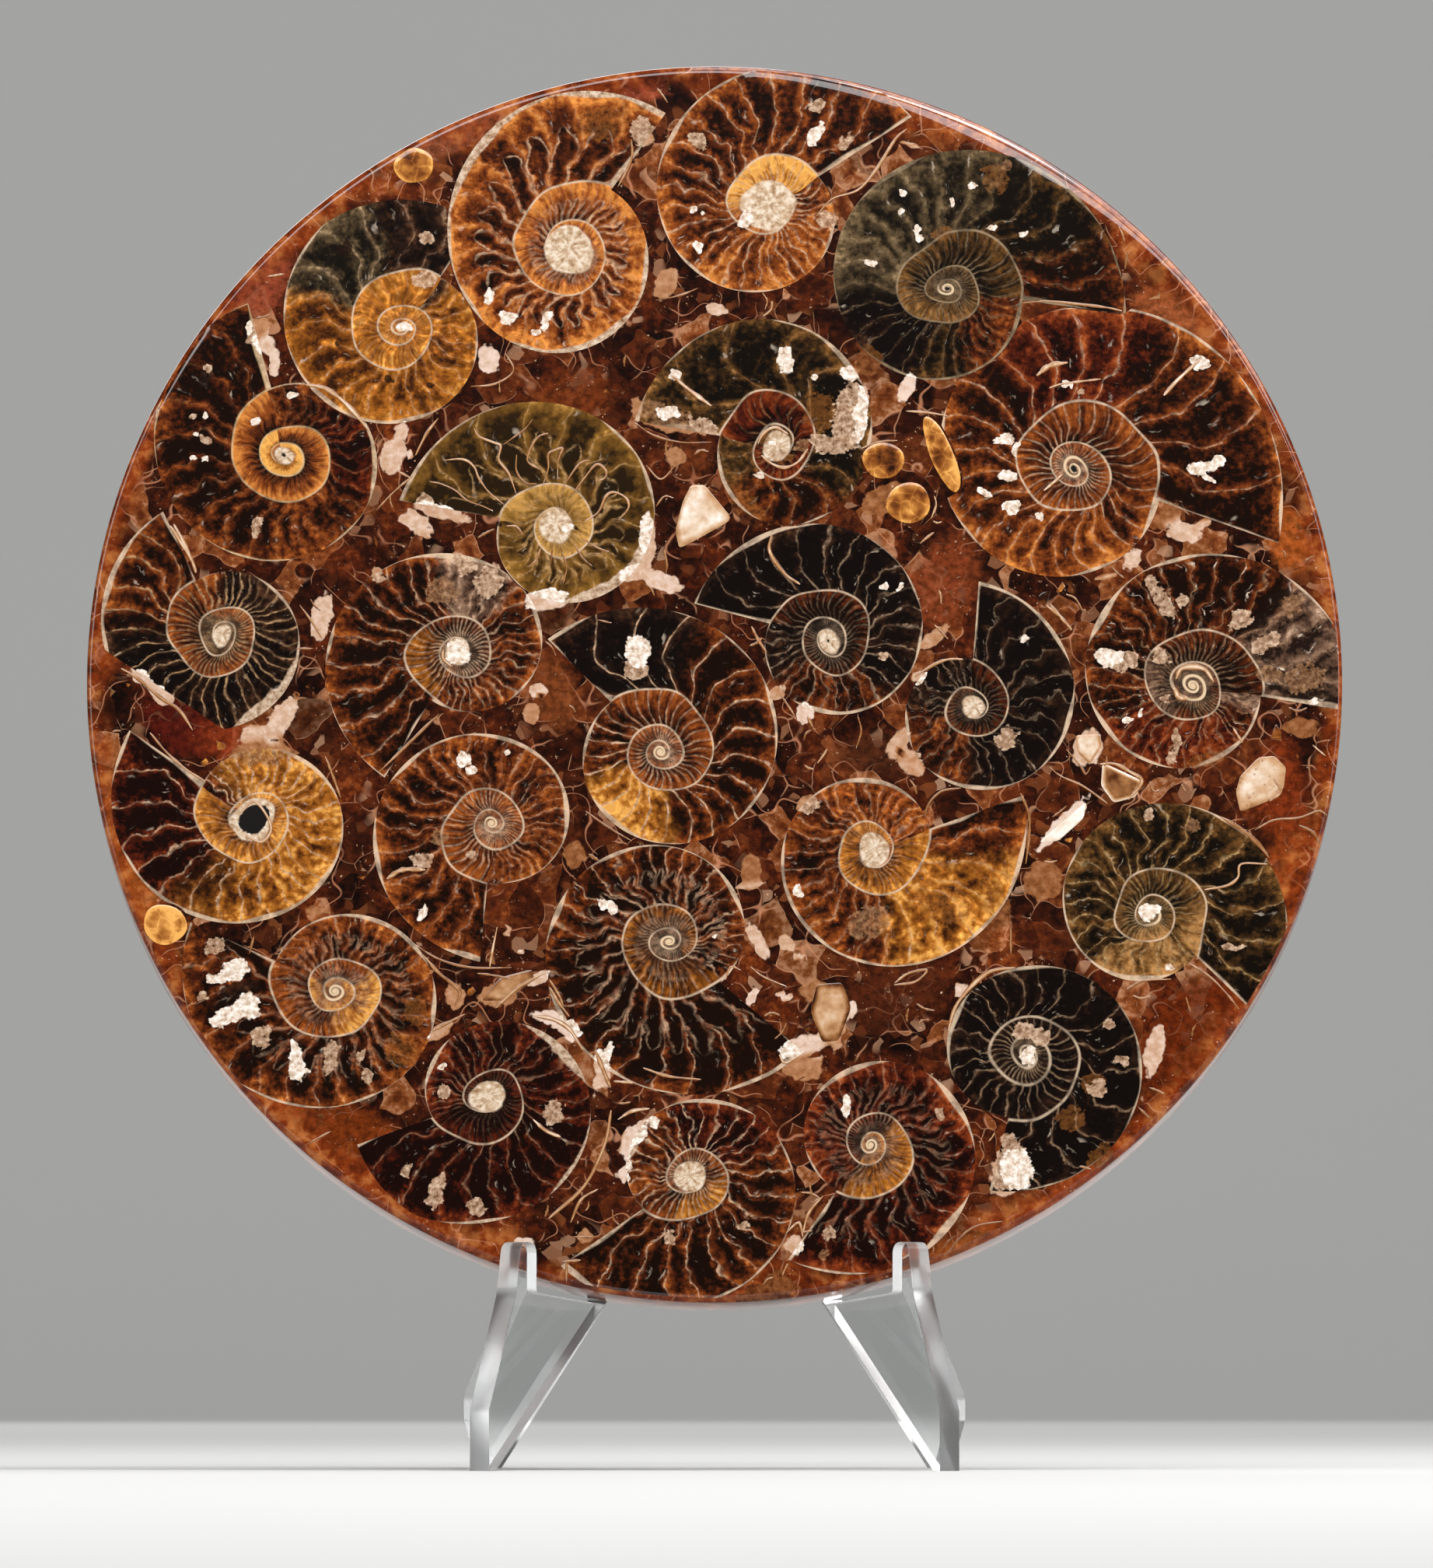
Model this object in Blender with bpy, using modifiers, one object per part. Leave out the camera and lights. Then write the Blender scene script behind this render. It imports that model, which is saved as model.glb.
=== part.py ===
"""Polished fossil disc with sliced ammonites set flush in its face, on a clear two-plate easel.

The disc stands upright and leans back against two acrylic plates that cross in a half-lap joint.
World axes: X to the right of somebody facing the disc, Y away from them, Z up, origin on the floor
under the middle of the model. Lengths in this file are millimetres and angles are degrees; MM turns
them into Blender's metres where a mesh is made.
"""

import math

import bmesh
import bpy
import numpy as np
from mathutils import Matrix, Vector

MM = 0.001
MERGE = 0.00001

# Disc body
DISC_RADIUS = 75.0
DISC_THICKNESS = 8.0
DISC_SIDES = 96
RIM_BEVEL = 1.0
DISC_LEAN = 8.0
DISC_BOTTOM = 18.9      # height of the lowest line of the disc, on its back
DISC_SETBACK = 18.75    # from the line where the plates cross, forward to that lowest line

# Set pieces
GAP = 0.3               # between a set piece and the wall of its pocket
WALL = 0.35             # least matrix left between two pockets
RIM_MARGIN = 1.9        # from a set piece's edge to the disc's edge
OUTLINE_POINTS = 27
AMMONITE_DEPTH = 4.2
AMMONITE_BACK = 0.72    # size of an ammonite's hidden back, as a share of its face
CHIP_DEPTH = 2.5
CHIP_BACK = 0.7

# Each ammonite: centre (right of and above the disc's middle), radius and angle of the shell's
# mouth, growth of one turn, sense of growth (1 is anticlockwise), ovalness, tilt of the oval, and
# the radius that the shell stops at where it is broken off.
AMMONITES = (
    (-17.5, 52.5, 20.0, 55, 2.3, -1, 0.04, 90, 99, "fossil_amber"),
    (6.5, 57.5, 20.5, 33, 2.9, -1, 0, 0, 99, "fossil_brown"),
    (28.0, 47.5, 21.5, -8, 2.4, -1, 0, 0, 99, "fossil_olive"),
    (-37.5, 42.5, 19.0, 55, 2.4, -1, 0, 0, 16, "fossil_amber"),
    (-51.0, 27.5, 19.0, 105, 2.3, -1, 0, 0, 99, "fossil_dark"),
    (7.5, 28.5, 18.0, 170, 2.5, 1, 0.04, 90, 99, "fossil_olive"),
    (43.0, 25.5, 26.0, -20, 2.4, -1, 0, 0, 99, "fossil_brown"),
    (-19.0, 18.5, 19.0, 170, 2.8, 1, 0, 0, 99, "fossil_olive"),
    (-59.0, 5.5, 16.5, 115, 2.3, -1, 0, 0, 99, "fossil_dark"),
    (-30.5, 3.5, 18.0, 240, 2.6, 1, 0.03, 0, 99, "fossil_brown"),
    (13.5, 5.0, 16.5, 165, 2.3, 1, 0, 0, 99, "fossil_dark"),
    (-6.5, -8.5, 19.0, 135, 2.3, 1, 0, 0, 99, "fossil_dark"),
    (30.5, -3.5, 15.5, 86, 2.6, 1, 0, 0, 99, "fossil_dark"),
    (57.0, -0.5, 20.0, -10, 2.4, -1, 0, 0, 99, "fossil_dark"),
    (-55.0, -16.5, 18.0, 145, 2.5, -1, 0.02, 0, 99, "fossil_amber"),
    (-26.5, -17.5, 17.0, 265, 2.4, 1, 0.02, 0, 99, "fossil_brown"),
    (19.0, -20.5, 19.0, 20, 2.7, 1, 0, 0, 99, "fossil_amber"),
    (52.0, -28.0, 18.0, 315, 2.4, -1, 0, 0, 99, "fossil_olive"),
    (-45.0, -37.5, 19.0, 155, 2.4, -1, 0.02, 0, 99, "fossil_brown"),
    (-5.5, -31.5, 21.0, 320, 2.6, 1, 0, 0, 99, "fossil_brown"),
    (37.0, -45.5, 17.0, 255, 2.2, -1, 0.02, 0, 99, "fossil_dark"),
    (-27.0, -50.5, 18.5, 200, 2.7, -1, 0.02, 0, 16.5, "fossil_dark"),
    (-3.0, -60.0, 18.5, 215, 2.8, -1, 0.02, 0, 99, "fossil_brown"),
    (18.5, -56.0, 17.0, 235, 2.5, -1, 0, 0, 99, "fossil_brown"),
)

# Loose pieces between the ammonites, as corner points on the face
SHELL_CHIPS = (
    ((-4.2, 15.9), (2.2, 19.5), (-1.2, 23.7), (-2.8, 23.7), (-3.8, 21.7), (-4.7, 18.1)),
    ((38.6, -19.7), (41.0, -19.5), (44.0, -16.8), (44.4, -14.7)),
    ((62.7, -16.0), (66.0, -14.7), (67.9, -13.2), (68.2, -10.6), (66.8, -9.2), (64.9, -9.4),
     (62.7, -11.7), (62.2, -13.6)),
    ((46.3, -10.0), (46.1, -12.8), (47.6, -14.9), (50.2, -14.2), (51.2, -12.3)),
    ((43.1, -6.7), (43.3, -8.8), (44.8, -10.2), (46.2, -8.0), (45.9, -6.5)),
    ((11.4, -40.0), (12.8, -43.8), (14.8, -43.6), (16.3, -39.6), (15.2, -36.6), (12.2, -36.8)),
    ((-27.8, -38.8), (-24.8, -38.8), (-21.4, -36.2), (-21.8, -35.0), (-25.6, -36.0)),
)

# Rounded pieces: centre, half length, half width, angle of the long side
AMBER_PEBBLES = (
    (20.2, 26.7, 2.5, 2.2, 0),
    (23.2, 21.5, 2.6, 2.5, 0),
    (27.2, 27.4, 4.8, 1.4, -68),
    (-65.5, -29.6, 2.6, 2.4, 0),
    (-36.1, 62.7, 2.4, 2.1, 20),
)
PEBBLE_POINTS = 12

# Easel plates, in their own plane: distance forward of the crossing line, height
PLATE_THICKNESS = 3.0
PLATE_TURN = 39.0       # of each plate, to either side of straight ahead
FLOOR_TO_TOP = 74.0
FOOT_FLAT = 1.2
FRONT_FOOT = 44.2
REAR_FOOT = 44.3
REAR_HEEL = 46.8
LIP_TOP = 27.1
LIP_INSIDE = 35.4
NOTCH_BACK_HEIGHT = 19.7
NOTCH_FRONT_HEIGHT = 21.15
ARCH_APEX = 42.0
ARCH_ROUNDING = 7.0
REAR_TOP = 3.0          # from the crossing line back to the corner at the top
ARC_STEPS = 6
JOINT_HEIGHT = 56.5
JOINT_CLEARANCE = 0.3
HORN_TOP = 71.5         # top of the thin part behind the upper slot
PLATE_EDGE_BEVEL = 0.2

PLATE_NODES = (("stand_plate_1", -1), ("stand_plate_2", 1))

# Colour, roughness and transmission of each material
MATERIALS = {
    "resin_matrix": ((0.22, 0.05, 0.02), 0.08, 0.0),
    "fossil_amber": ((0.36, 0.17, 0.04), 0.08, 0.0),
    "fossil_brown": ((0.11, 0.045, 0.02), 0.08, 0.0),
    "fossil_dark": ((0.03, 0.02, 0.014), 0.08, 0.0),
    "fossil_olive": ((0.12, 0.10, 0.03), 0.08, 0.0),
    "shell": ((0.74, 0.66, 0.50), 0.12, 0.0),
    "amber": ((0.42, 0.15, 0.03), 0.06, 0.0),
    "clear_acrylic": ((0.95, 0.97, 0.97), 0.03, 1.0),
}


def direction(degrees):
    """Unit vector at an angle, in a plane."""
    return np.array((math.cos(math.radians(degrees)), math.sin(math.radians(degrees))))


def clear_scene():
    """Start from nothing."""
    for item in list(bpy.data.objects):
        bpy.data.objects.remove(item, do_unlink=True)


def make_collection(name):
    """A named collection in the scene."""
    collection = bpy.data.collections.new(name)
    bpy.context.scene.collection.children.link(collection)
    return collection


def make_material(name):
    """One Principled material with plain values."""
    colour, roughness, transmission = MATERIALS[name]
    material = bpy.data.materials.new(name)
    material.use_nodes = True
    shader = material.node_tree.nodes["Principled BSDF"]
    shader.inputs["Base Color"].default_value = (*colour, 1.0)
    shader.inputs["Roughness"].default_value = roughness
    shader.inputs["Metallic"].default_value = 0.0
    shader.inputs["Transmission Weight"].default_value = transmission
    shader.inputs["IOR"].default_value = 1.49
    material.diffuse_color = (*colour, 1.0)
    return material


# Places

def plate_middle():
    """How far the crossing line stands behind the origin, so that the origin is in the middle."""
    across = PLATE_THICKNESS / 2 * math.sin(math.radians(PLATE_TURN))
    ahead = math.cos(math.radians(PLATE_TURN))
    front = FRONT_FOOT * ahead + across
    rear = REAR_HEEL * ahead + across
    return (front - rear) / 2


def disc_frame():
    """From the disc's face (x right, y up the face, z out of it) to the world."""
    lean = math.radians(DISC_LEAN)
    right = Vector((1, 0, 0))
    up = Vector((0, math.sin(lean), math.cos(lean)))
    outward = Vector((0, -math.cos(lean), math.sin(lean)))
    lowest = Vector((0, plate_middle() - DISC_SETBACK, DISC_BOTTOM))
    face_middle = (lowest + up * DISC_RADIUS + outward * DISC_THICKNESS) * MM
    frame = Matrix((right, up, outward)).transposed().to_4x4()
    frame.translation = face_middle
    return frame


def plate_frame(side):
    """From a plate's own plane (x forward, y up, z through it) to the world."""
    ahead = direction(-90 + side * PLATE_TURN)
    forward = Vector((ahead[0], ahead[1], 0))
    up = Vector((0, 0, 1))
    frame = Matrix((forward, up, forward.cross(up))).transposed().to_4x4()
    frame.translation = Vector((0, plate_middle(), 0)) * MM
    return frame


# Outlines

def ammonite_outline(row):
    """The last turn of a shell that grows by the same factor each turn, and its mouth."""
    centre_x, centre_y, mouth, angle, growth, sense, oval, tilt, reach, _material = row
    points = []
    for step in range(OUTLINE_POINTS):
        back = step / (OUTLINE_POINTS - 1)
        here = angle - sense * 360 * back
        stretch = math.exp(oval * math.cos(math.radians(2 * (here - tilt))))
        radius = min(mouth * growth ** -back * stretch, reach)
        points.append((centre_x, centre_y) + radius * direction(here))
    return in_order(points, sense)


def pebble_outline(row):
    """An oval."""
    centre_x, centre_y, half_length, half_width, angle = row
    along = direction(angle)
    across = direction(angle + 90)
    points = []
    for step in range(PEBBLE_POINTS):
        turn = direction(360 * step / PEBBLE_POINTS)
        points.append((centre_x, centre_y) + turn[0] * half_length * along + turn[1] * half_width * across)
    return np.array(points)


def in_order(points, sense):
    """Corner points running anticlockwise. They were made running against the sense of growth."""
    return np.array(points[::-1] if sense > 0 else points)


def distances(points, outline):
    """Distance of each point from the nearest side of an outline, negative inside, and that side."""
    start = outline
    side = np.roll(outline, -1, axis=0) - start
    offset = points[:, None, :] - start[None, :, :]
    share = np.clip((offset * side).sum(axis=2) / (side ** 2).sum(axis=1), 0, 1)
    away = np.linalg.norm(offset - share[:, :, None] * side, axis=2)
    end = start + side
    level = points[:, None, 1]
    crosses = (start[:, 1] <= level) != (end[:, 1] <= level)
    rise = np.where(side[:, 1] == 0, 1, side[:, 1])
    crossing = start[:, 0] + (level - start[:, 1]) / rise * side[:, 0]
    inside = (crosses & (points[:, None, 0] < crossing)).sum(axis=1) % 2 == 1
    nearest = away.argmin(axis=1)
    return np.where(inside, -1, 1) * away.min(axis=1), nearest


def draw_in(outline, centre, others):
    """Pull corners towards the centre until the outline is clear of the others and of the rim."""
    outline = outline.copy()
    clearance = 2 * GAP + WALL
    for _attempt in range(400):
        tight = np.linalg.norm(outline, axis=1) > DISC_RADIUS - RIM_MARGIN
        for other in others:
            tight |= distances(outline, other)[0] < clearance
            gaps, nearest = distances(other, outline)
            for corner in nearest[gaps < clearance]:
                tight[corner] = True
                tight[(corner + 1) % len(outline)] = True
        if not tight.any():
            break
        outline[tight] += (centre - outline[tight]) * 0.01
    return outline


def widened(outline, distance):
    """The outline moved outwards, square to its sides."""
    side = np.roll(outline, -1, axis=0) - outline
    side /= np.linalg.norm(side, axis=1)[:, None]
    outward = np.column_stack((side[:, 1], -side[:, 0]))
    before = np.roll(outward, 1, axis=0)
    corner = outward + before
    corner /= (corner * outward).sum(axis=1)[:, None]
    length = np.linalg.norm(corner, axis=1)
    corner /= np.maximum(length / 1.4, 1)[:, None]
    return outline + corner * distance


def rounded(corners):
    """A plate outline: each corner is (forward, height, radius of its rounding)."""
    points = []
    for index, (forward, height, radius) in enumerate(corners):
        here = np.array((forward, height))
        if radius == 0:
            points.append(here)
            continue
        before = np.array(corners[index - 1][:2]) - here
        after = np.array(corners[(index + 1) % len(corners)][:2]) - here
        before /= np.linalg.norm(before)
        after /= np.linalg.norm(after)
        half = math.acos(float(before @ after)) / 2
        middle = (before + after) / np.linalg.norm(before + after) * radius / math.sin(half)
        sweep = math.pi / 2 - half
        axis = -middle / np.linalg.norm(middle)
        turn = 1 if before[0] * after[1] - before[1] * after[0] < 0 else -1
        for step in range(ARC_STEPS + 1):
            angle = turn * sweep * (2 * step / ARC_STEPS - 1)
            spoke = np.array((
                axis[0] * math.cos(angle) - axis[1] * math.sin(angle),
                axis[0] * math.sin(angle) + axis[1] * math.cos(angle),
            ))
            points.append(here + middle + spoke * radius)
    return np.array(points)


def support_edge(height):
    """How far forward the edge that the disc leans on stands, at a height."""
    lean = math.tan(math.radians(DISC_LEAN))
    ahead = math.cos(math.radians(PLATE_TURN))
    half_plate = PLATE_THICKNESS / 2 * math.tan(math.radians(PLATE_TURN))
    disc_back = DISC_SETBACK - lean * (height - DISC_BOTTOM)
    return (disc_back - GAP) / ahead - half_plate


def plate_outline():
    """Side view of an easel plate, running anticlockwise from the front foot."""
    return rounded((
        (FRONT_FOOT, 0, 0),
        (FRONT_FOOT, 7.15, 2.0),
        (39.3, 20.8, 6.0),
        (38.3, LIP_TOP, 1.3),
        (LIP_INSIDE, LIP_TOP, 1.3),
        (LIP_INSIDE, NOTCH_FRONT_HEIGHT, 0.5),
        (support_edge(NOTCH_BACK_HEIGHT), NOTCH_BACK_HEIGHT, 0.5),
        (support_edge(FLOOR_TO_TOP), FLOOR_TO_TOP, 3.0),
        (-REAR_TOP, FLOOR_TO_TOP, 3.0),
        (-REAR_HEEL, 8.8, 2.0),
        (-REAR_HEEL, 5.9, 1.5),
        (-REAR_FOOT, 0, 0),
        (-REAR_FOOT + FOOT_FLAT, 0, 0),
        (0, ARCH_APEX, ARCH_ROUNDING),
        (FRONT_FOOT - FOOT_FLAT, 0, 0),
    ))


# Solids

def link_mesh(name, mesh_data, collection, frame, material=None):
    """Turn a finished bmesh into an object."""
    bmesh.ops.remove_doubles(mesh_data, verts=mesh_data.verts, dist=MERGE)
    bmesh.ops.recalc_face_normals(mesh_data, faces=mesh_data.faces)
    mesh = bpy.data.meshes.new(name)
    mesh_data.to_mesh(mesh)
    mesh_data.free()
    item = bpy.data.objects.new(name, mesh)
    item.matrix_world = frame
    collection.objects.link(item)
    if material:
        mesh.materials.append(material)
    return item


def add_plug(mesh_data, outline, centre, levels):
    """A closed plug through sections of unlike size, given as (depth, size) from front to back."""
    rings = []
    for depth, size in levels:
        section = (centre + (outline - centre) * size) * MM
        rings.append([mesh_data.verts.new((x, y, -depth * MM)) for x, y in section])
    mesh_data.faces.new(rings[0])
    mesh_data.faces.new(rings[-1][::-1])
    for front, back in zip(rings, rings[1:]):
        for corner in range(len(front)):
            before = corner - 1
            mesh_data.faces.new((front[before], front[corner], back[corner], back[before]))


def set_piece(name, outline, centre, depth, back, material, collection, frame):
    """A piece set flush in the face: flat front, narrower back."""
    mesh_data = bmesh.new()
    add_plug(mesh_data, outline, centre, ((0, 1), (depth, back)))
    return link_mesh(name, mesh_data, collection, frame, material)


def add_pocket(mesh_data, outline, centre, depth, back):
    """The cutter of a pocket: GAP wider and deeper than its piece, and standing out of the face."""
    above = -1.0
    wide = widened(outline, GAP)
    add_plug(mesh_data, wide, centre, ((above, 1), (GAP, 1), (depth + GAP, back)))


def disc_body(collection, cutters, frame, pockets, material):
    """The round slab with rounded edges and all pockets cut."""
    cutter_data = bmesh.new()
    for outline, centre, depth, back in pockets:
        add_pocket(cutter_data, outline, centre, depth, back)
    cutter = link_mesh("pocket_cutter", cutter_data, cutters, frame)
    slab = bmesh.new()
    bmesh.ops.create_cone(
        slab, cap_ends=True, segments=DISC_SIDES, depth=DISC_THICKNESS * MM,
        radius1=DISC_RADIUS * MM, radius2=DISC_RADIUS * MM,
        matrix=Matrix.Translation((0, 0, -DISC_THICKNESS / 2 * MM)),
    )
    for face in slab.faces:
        face.smooth = abs(face.normal.z) < 0.5
    body = link_mesh("matrix", slab, collection, frame, material)
    bevel = body.modifiers.new("rim", "BEVEL")
    bevel.width = RIM_BEVEL * MM
    bevel.segments = 2
    bevel.limit_method = "ANGLE"
    bevel.angle_limit = math.radians(60)
    add_cut(body, cutter)
    return body


def add_cut(item, cutter):
    """Subtract a cutter."""
    cutter.hide_render = True
    cutter.display_type = "WIRE"
    cut = item.modifiers.new(cutter.name, "BOOLEAN")
    cut.operation = "DIFFERENCE"
    cut.solver = "EXACT"
    cut.object = cutter


def slot_box(name, left, right, bottom, top, cutters, frame):
    """A box right through a plate, for its half of the joint."""
    depth = 2 * PLATE_THICKNESS
    box = bmesh.new()
    size = ((right - left) * MM, (top - bottom) * MM, depth * MM)
    place = Matrix.Translation(((left + right) / 2 * MM, (bottom + top) / 2 * MM, 0))
    bmesh.ops.create_cube(box, size=1.0, matrix=place @ Matrix.Diagonal((*size, 1.0)))
    return link_mesh(name, box, cutters, frame)


def easel_plate(name, side, collection, cutters, material):
    """One plate. The first is slotted from its arch up, the second from its top down."""
    frame = plate_frame(side)
    plate = bmesh.new()
    half = PLATE_THICKNESS / 2
    outline = plate_outline()
    add_plug(plate, outline, np.zeros(2), ((-half, 1), (half, 1)))
    item = link_mesh(name, plate, collection, frame, material)
    crossing = math.radians(2 * PLATE_TURN)
    width = PLATE_THICKNESS / math.sin(crossing) + PLATE_THICKNESS / math.tan(crossing)
    edge = width / 2 + JOINT_CLEARANCE / math.sin(crossing)
    if side < 0:
        add_cut(item, slot_box("lower_slot", -edge, edge, 20, JOINT_HEIGHT + GAP / 2, cutters, frame))
    else:
        above = FLOOR_TO_TOP + 5
        add_cut(item, slot_box("upper_slot", -edge, edge, JOINT_HEIGHT - GAP / 2, above, cutters, frame))
        add_cut(item, slot_box("horn_trim", -edge - 9, -edge + 1, HORN_TOP, above, cutters, frame))
    bevel = item.modifiers.new("edges", "BEVEL")
    bevel.width = PLATE_EDGE_BEVEL * MM
    bevel.segments = 1
    bevel.limit_method = "ANGLE"
    bevel.angle_limit = math.radians(60)
    return item


def set_pieces():
    """Name, outline, centre, depth, back size and material of every piece in the face."""
    pieces = []
    outlines = []

    def add(name, outline, centre, depth, back, material):
        outline = draw_in(outline, centre, outlines)
        outlines.append(outline)
        pieces.append((name, outline, centre, depth, back, material))

    for number, corners in enumerate(SHELL_CHIPS, 1):
        outline = np.array(corners)
        add(f"shell_chip_{number}", outline, outline.mean(axis=0), CHIP_DEPTH, CHIP_BACK, "shell")
    for number, row in enumerate(AMBER_PEBBLES, 1):
        outline = pebble_outline(row)
        add(f"amber_pebble_{number}", outline, np.array(row[:2]), CHIP_DEPTH, CHIP_BACK, "amber")
    for number, row in enumerate(AMMONITES, 1):
        name = f"ammonite_{number:02d}"
        add(name, ammonite_outline(row), np.array(row[:2]), AMMONITE_DEPTH, AMMONITE_BACK, row[-1])
    return pieces


def main():
    """Build the disc, the pieces in its face and the easel."""
    clear_scene()
    solids = make_collection("ammonite_disc")
    cutters = make_collection("cutters")
    materials = {name: make_material(name) for name in MATERIALS}
    frame = disc_frame()
    pockets = []
    for name, outline, centre, depth, back, material in set_pieces():
        set_piece(name, outline, centre, depth, back, materials[material], solids, frame)
        pockets.append((outline, centre, depth, back))
    disc_body(solids, cutters, frame, pockets, materials["resin_matrix"])
    for name, side in PLATE_NODES:
        easel_plate(name, side, solids, cutters, materials["clear_acrylic"])


main()
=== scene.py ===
"""Looks of a polished ammonite disc that leans on a clear two-plate easel.

The face of the disc is drawn in its own plane: millimetres to the right of and above its middle, and
out of the face. to_world turns that into metres in the frame. Every mesh keeps those millimetres in
an attribute called spot, and all patterns are worked out from it.
"""

import math
from collections import namedtuple

import bpy
import numpy as np
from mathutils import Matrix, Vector


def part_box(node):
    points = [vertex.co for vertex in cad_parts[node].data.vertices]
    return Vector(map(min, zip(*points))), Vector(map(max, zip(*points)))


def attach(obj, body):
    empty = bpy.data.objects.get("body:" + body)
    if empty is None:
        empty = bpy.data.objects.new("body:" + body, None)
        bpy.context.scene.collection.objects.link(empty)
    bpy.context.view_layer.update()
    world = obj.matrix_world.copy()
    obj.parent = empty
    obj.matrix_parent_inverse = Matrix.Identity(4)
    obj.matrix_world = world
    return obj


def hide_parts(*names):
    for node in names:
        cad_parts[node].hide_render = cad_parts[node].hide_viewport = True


bl_info = {
    "name": "Ammonite Disc",
    "version": (1, 0, 0),
    "blender": (4, 5, 0),
    "location": "View3D > Sidebar > Fossil",
    "description": "Dresses a disc of sliced ammonites and its clear easel",
    "category": "Object",
}

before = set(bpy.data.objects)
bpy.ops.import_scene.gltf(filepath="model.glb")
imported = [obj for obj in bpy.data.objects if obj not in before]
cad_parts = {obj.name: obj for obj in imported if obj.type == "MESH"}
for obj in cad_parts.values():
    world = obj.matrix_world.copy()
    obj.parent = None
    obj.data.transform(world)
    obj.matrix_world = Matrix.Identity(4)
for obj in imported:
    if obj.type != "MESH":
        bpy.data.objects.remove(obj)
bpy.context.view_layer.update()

BODY = "root"

# The disc's own plane, from the frame
LOW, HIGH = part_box("matrix")
LEAN = math.radians(8.0)
MM = 0.001
RADIUS = (HIGH[0] - LOW[0]) / 2 / MM
THICKNESS = 8.0
RIGHT = Vector((1, 0, 0))
UP = Vector((0, math.sin(LEAN), math.cos(LEAN)))
OUT = Vector((0, -math.cos(LEAN), math.sin(LEAN)))
MIDDLE = (Vector(LOW) + Vector(HIGH)) / 2 + OUT * THICKNESS / 2 * MM


# ---------------------------------------------------------------------------
# The ammonites
# ---------------------------------------------------------------------------

CREAM = (208, 180, 152)
WHITE = (214, 196, 176)
TAN = (150, 112, 76)
INK = (14, 10, 9)
WARM_LIGHT = (0.94, 0.82, 0.74, 1.0)
WARM_RESIN = (0.86, 0.72, 0.66, 1.0)

# Fillings from dark to light
AMBER = ((20, 9, 5), (70, 31, 13), (132, 70, 28), (196, 130, 62))
GOLD = ((50, 25, 9), (106, 61, 20), (156, 99, 34), (216, 164, 84))
OLIVE = ((15, 11, 7), (52, 36, 18), (102, 72, 36), (168, 128, 78))
OCHRE = ((34, 24, 11), (84, 60, 25), (126, 94, 40), (184, 146, 80))
MOSS = ((18, 15, 11), (50, 42, 29), (92, 79, 57), (146, 130, 100))
SMOKE = ((13, 8, 7), (36, 22, 15), (74, 50, 34), (142, 114, 88))
RED = ((20, 7, 5), (66, 23, 11), (120, 54, 24), (178, 106, 56))
GREY = ((30, 20, 16), (84, 64, 52), (138, 114, 96), (208, 190, 172))

# Broken shell and amber by shade
SHELL_SHADES = ((0.04, (14, 9, 8)), (0.2, (84, 44, 20)), (0.4, (146, 98, 58)), (0.62, (188, 146, 108)),
                (0.82, (214, 190, 166)), (1.0, (238, 228, 218)))
AMBER_SHADES = ((0.1, (40, 18, 9)), (0.4, (116, 62, 24)), (0.65, (172, 110, 48)), (0.9, (226, 164, 86)))

# Chalk on a shell's wall, and a shell's heart
CHALK_SHADES = ((0.3, (112, 80, 56)), (0.5, (182, 154, 128)), (0.68, WHITE))
CORE_SHADES = ((0.36, (142, 108, 76)), (0.48, (190, 162, 132)), (0.6, (222, 206, 186)))
CORE_WALL = (214, 186, 150)

# The matrix: clear resin, lumps and crumbs in it, and what shows between and on them
RESIN_SHADES = ((0.39, (14, 6, 5)), (0.48, (42, 17, 9)), (0.57, (84, 36, 15)), (0.69, (152, 82, 38)))
LUMP_SHADES = ((0.0, (16, 8, 6)), (0.38, (54, 23, 12)), (0.68, (106, 52, 24)), (0.88, (162, 100, 54)),
               (1.0, (206, 160, 122)))
CRUMB_SHADES = ((0.0, (18, 9, 7)), (0.5, (96, 48, 24)), (0.8, (150, 92, 52)), (1.0, (210, 176, 144)))
SKIN = (206, 158, 124)
CRACK = (206, 150, 116)
# Pale specks painted on the matrix as glints, standing in for highlights
PAINTED_GLINT = (222, 190, 160)
SPECK = (120, 86, 60)
DULL_BACK = (104, 66, 44)
RIM_DARK = (78, 30, 12)
RIM_LIGHT = (196, 126, 66)

# Part of a whorl, which is 0 for the outermost, about an angle: lighter or darker, or filled otherwise
Zone = namedtuple("Zone", "whorl angle half shift filling", defaults=(None,))
# Chalky shell left on the outer wall about an angle
Rind = namedtuple("Rind", "angle half thickness")


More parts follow.
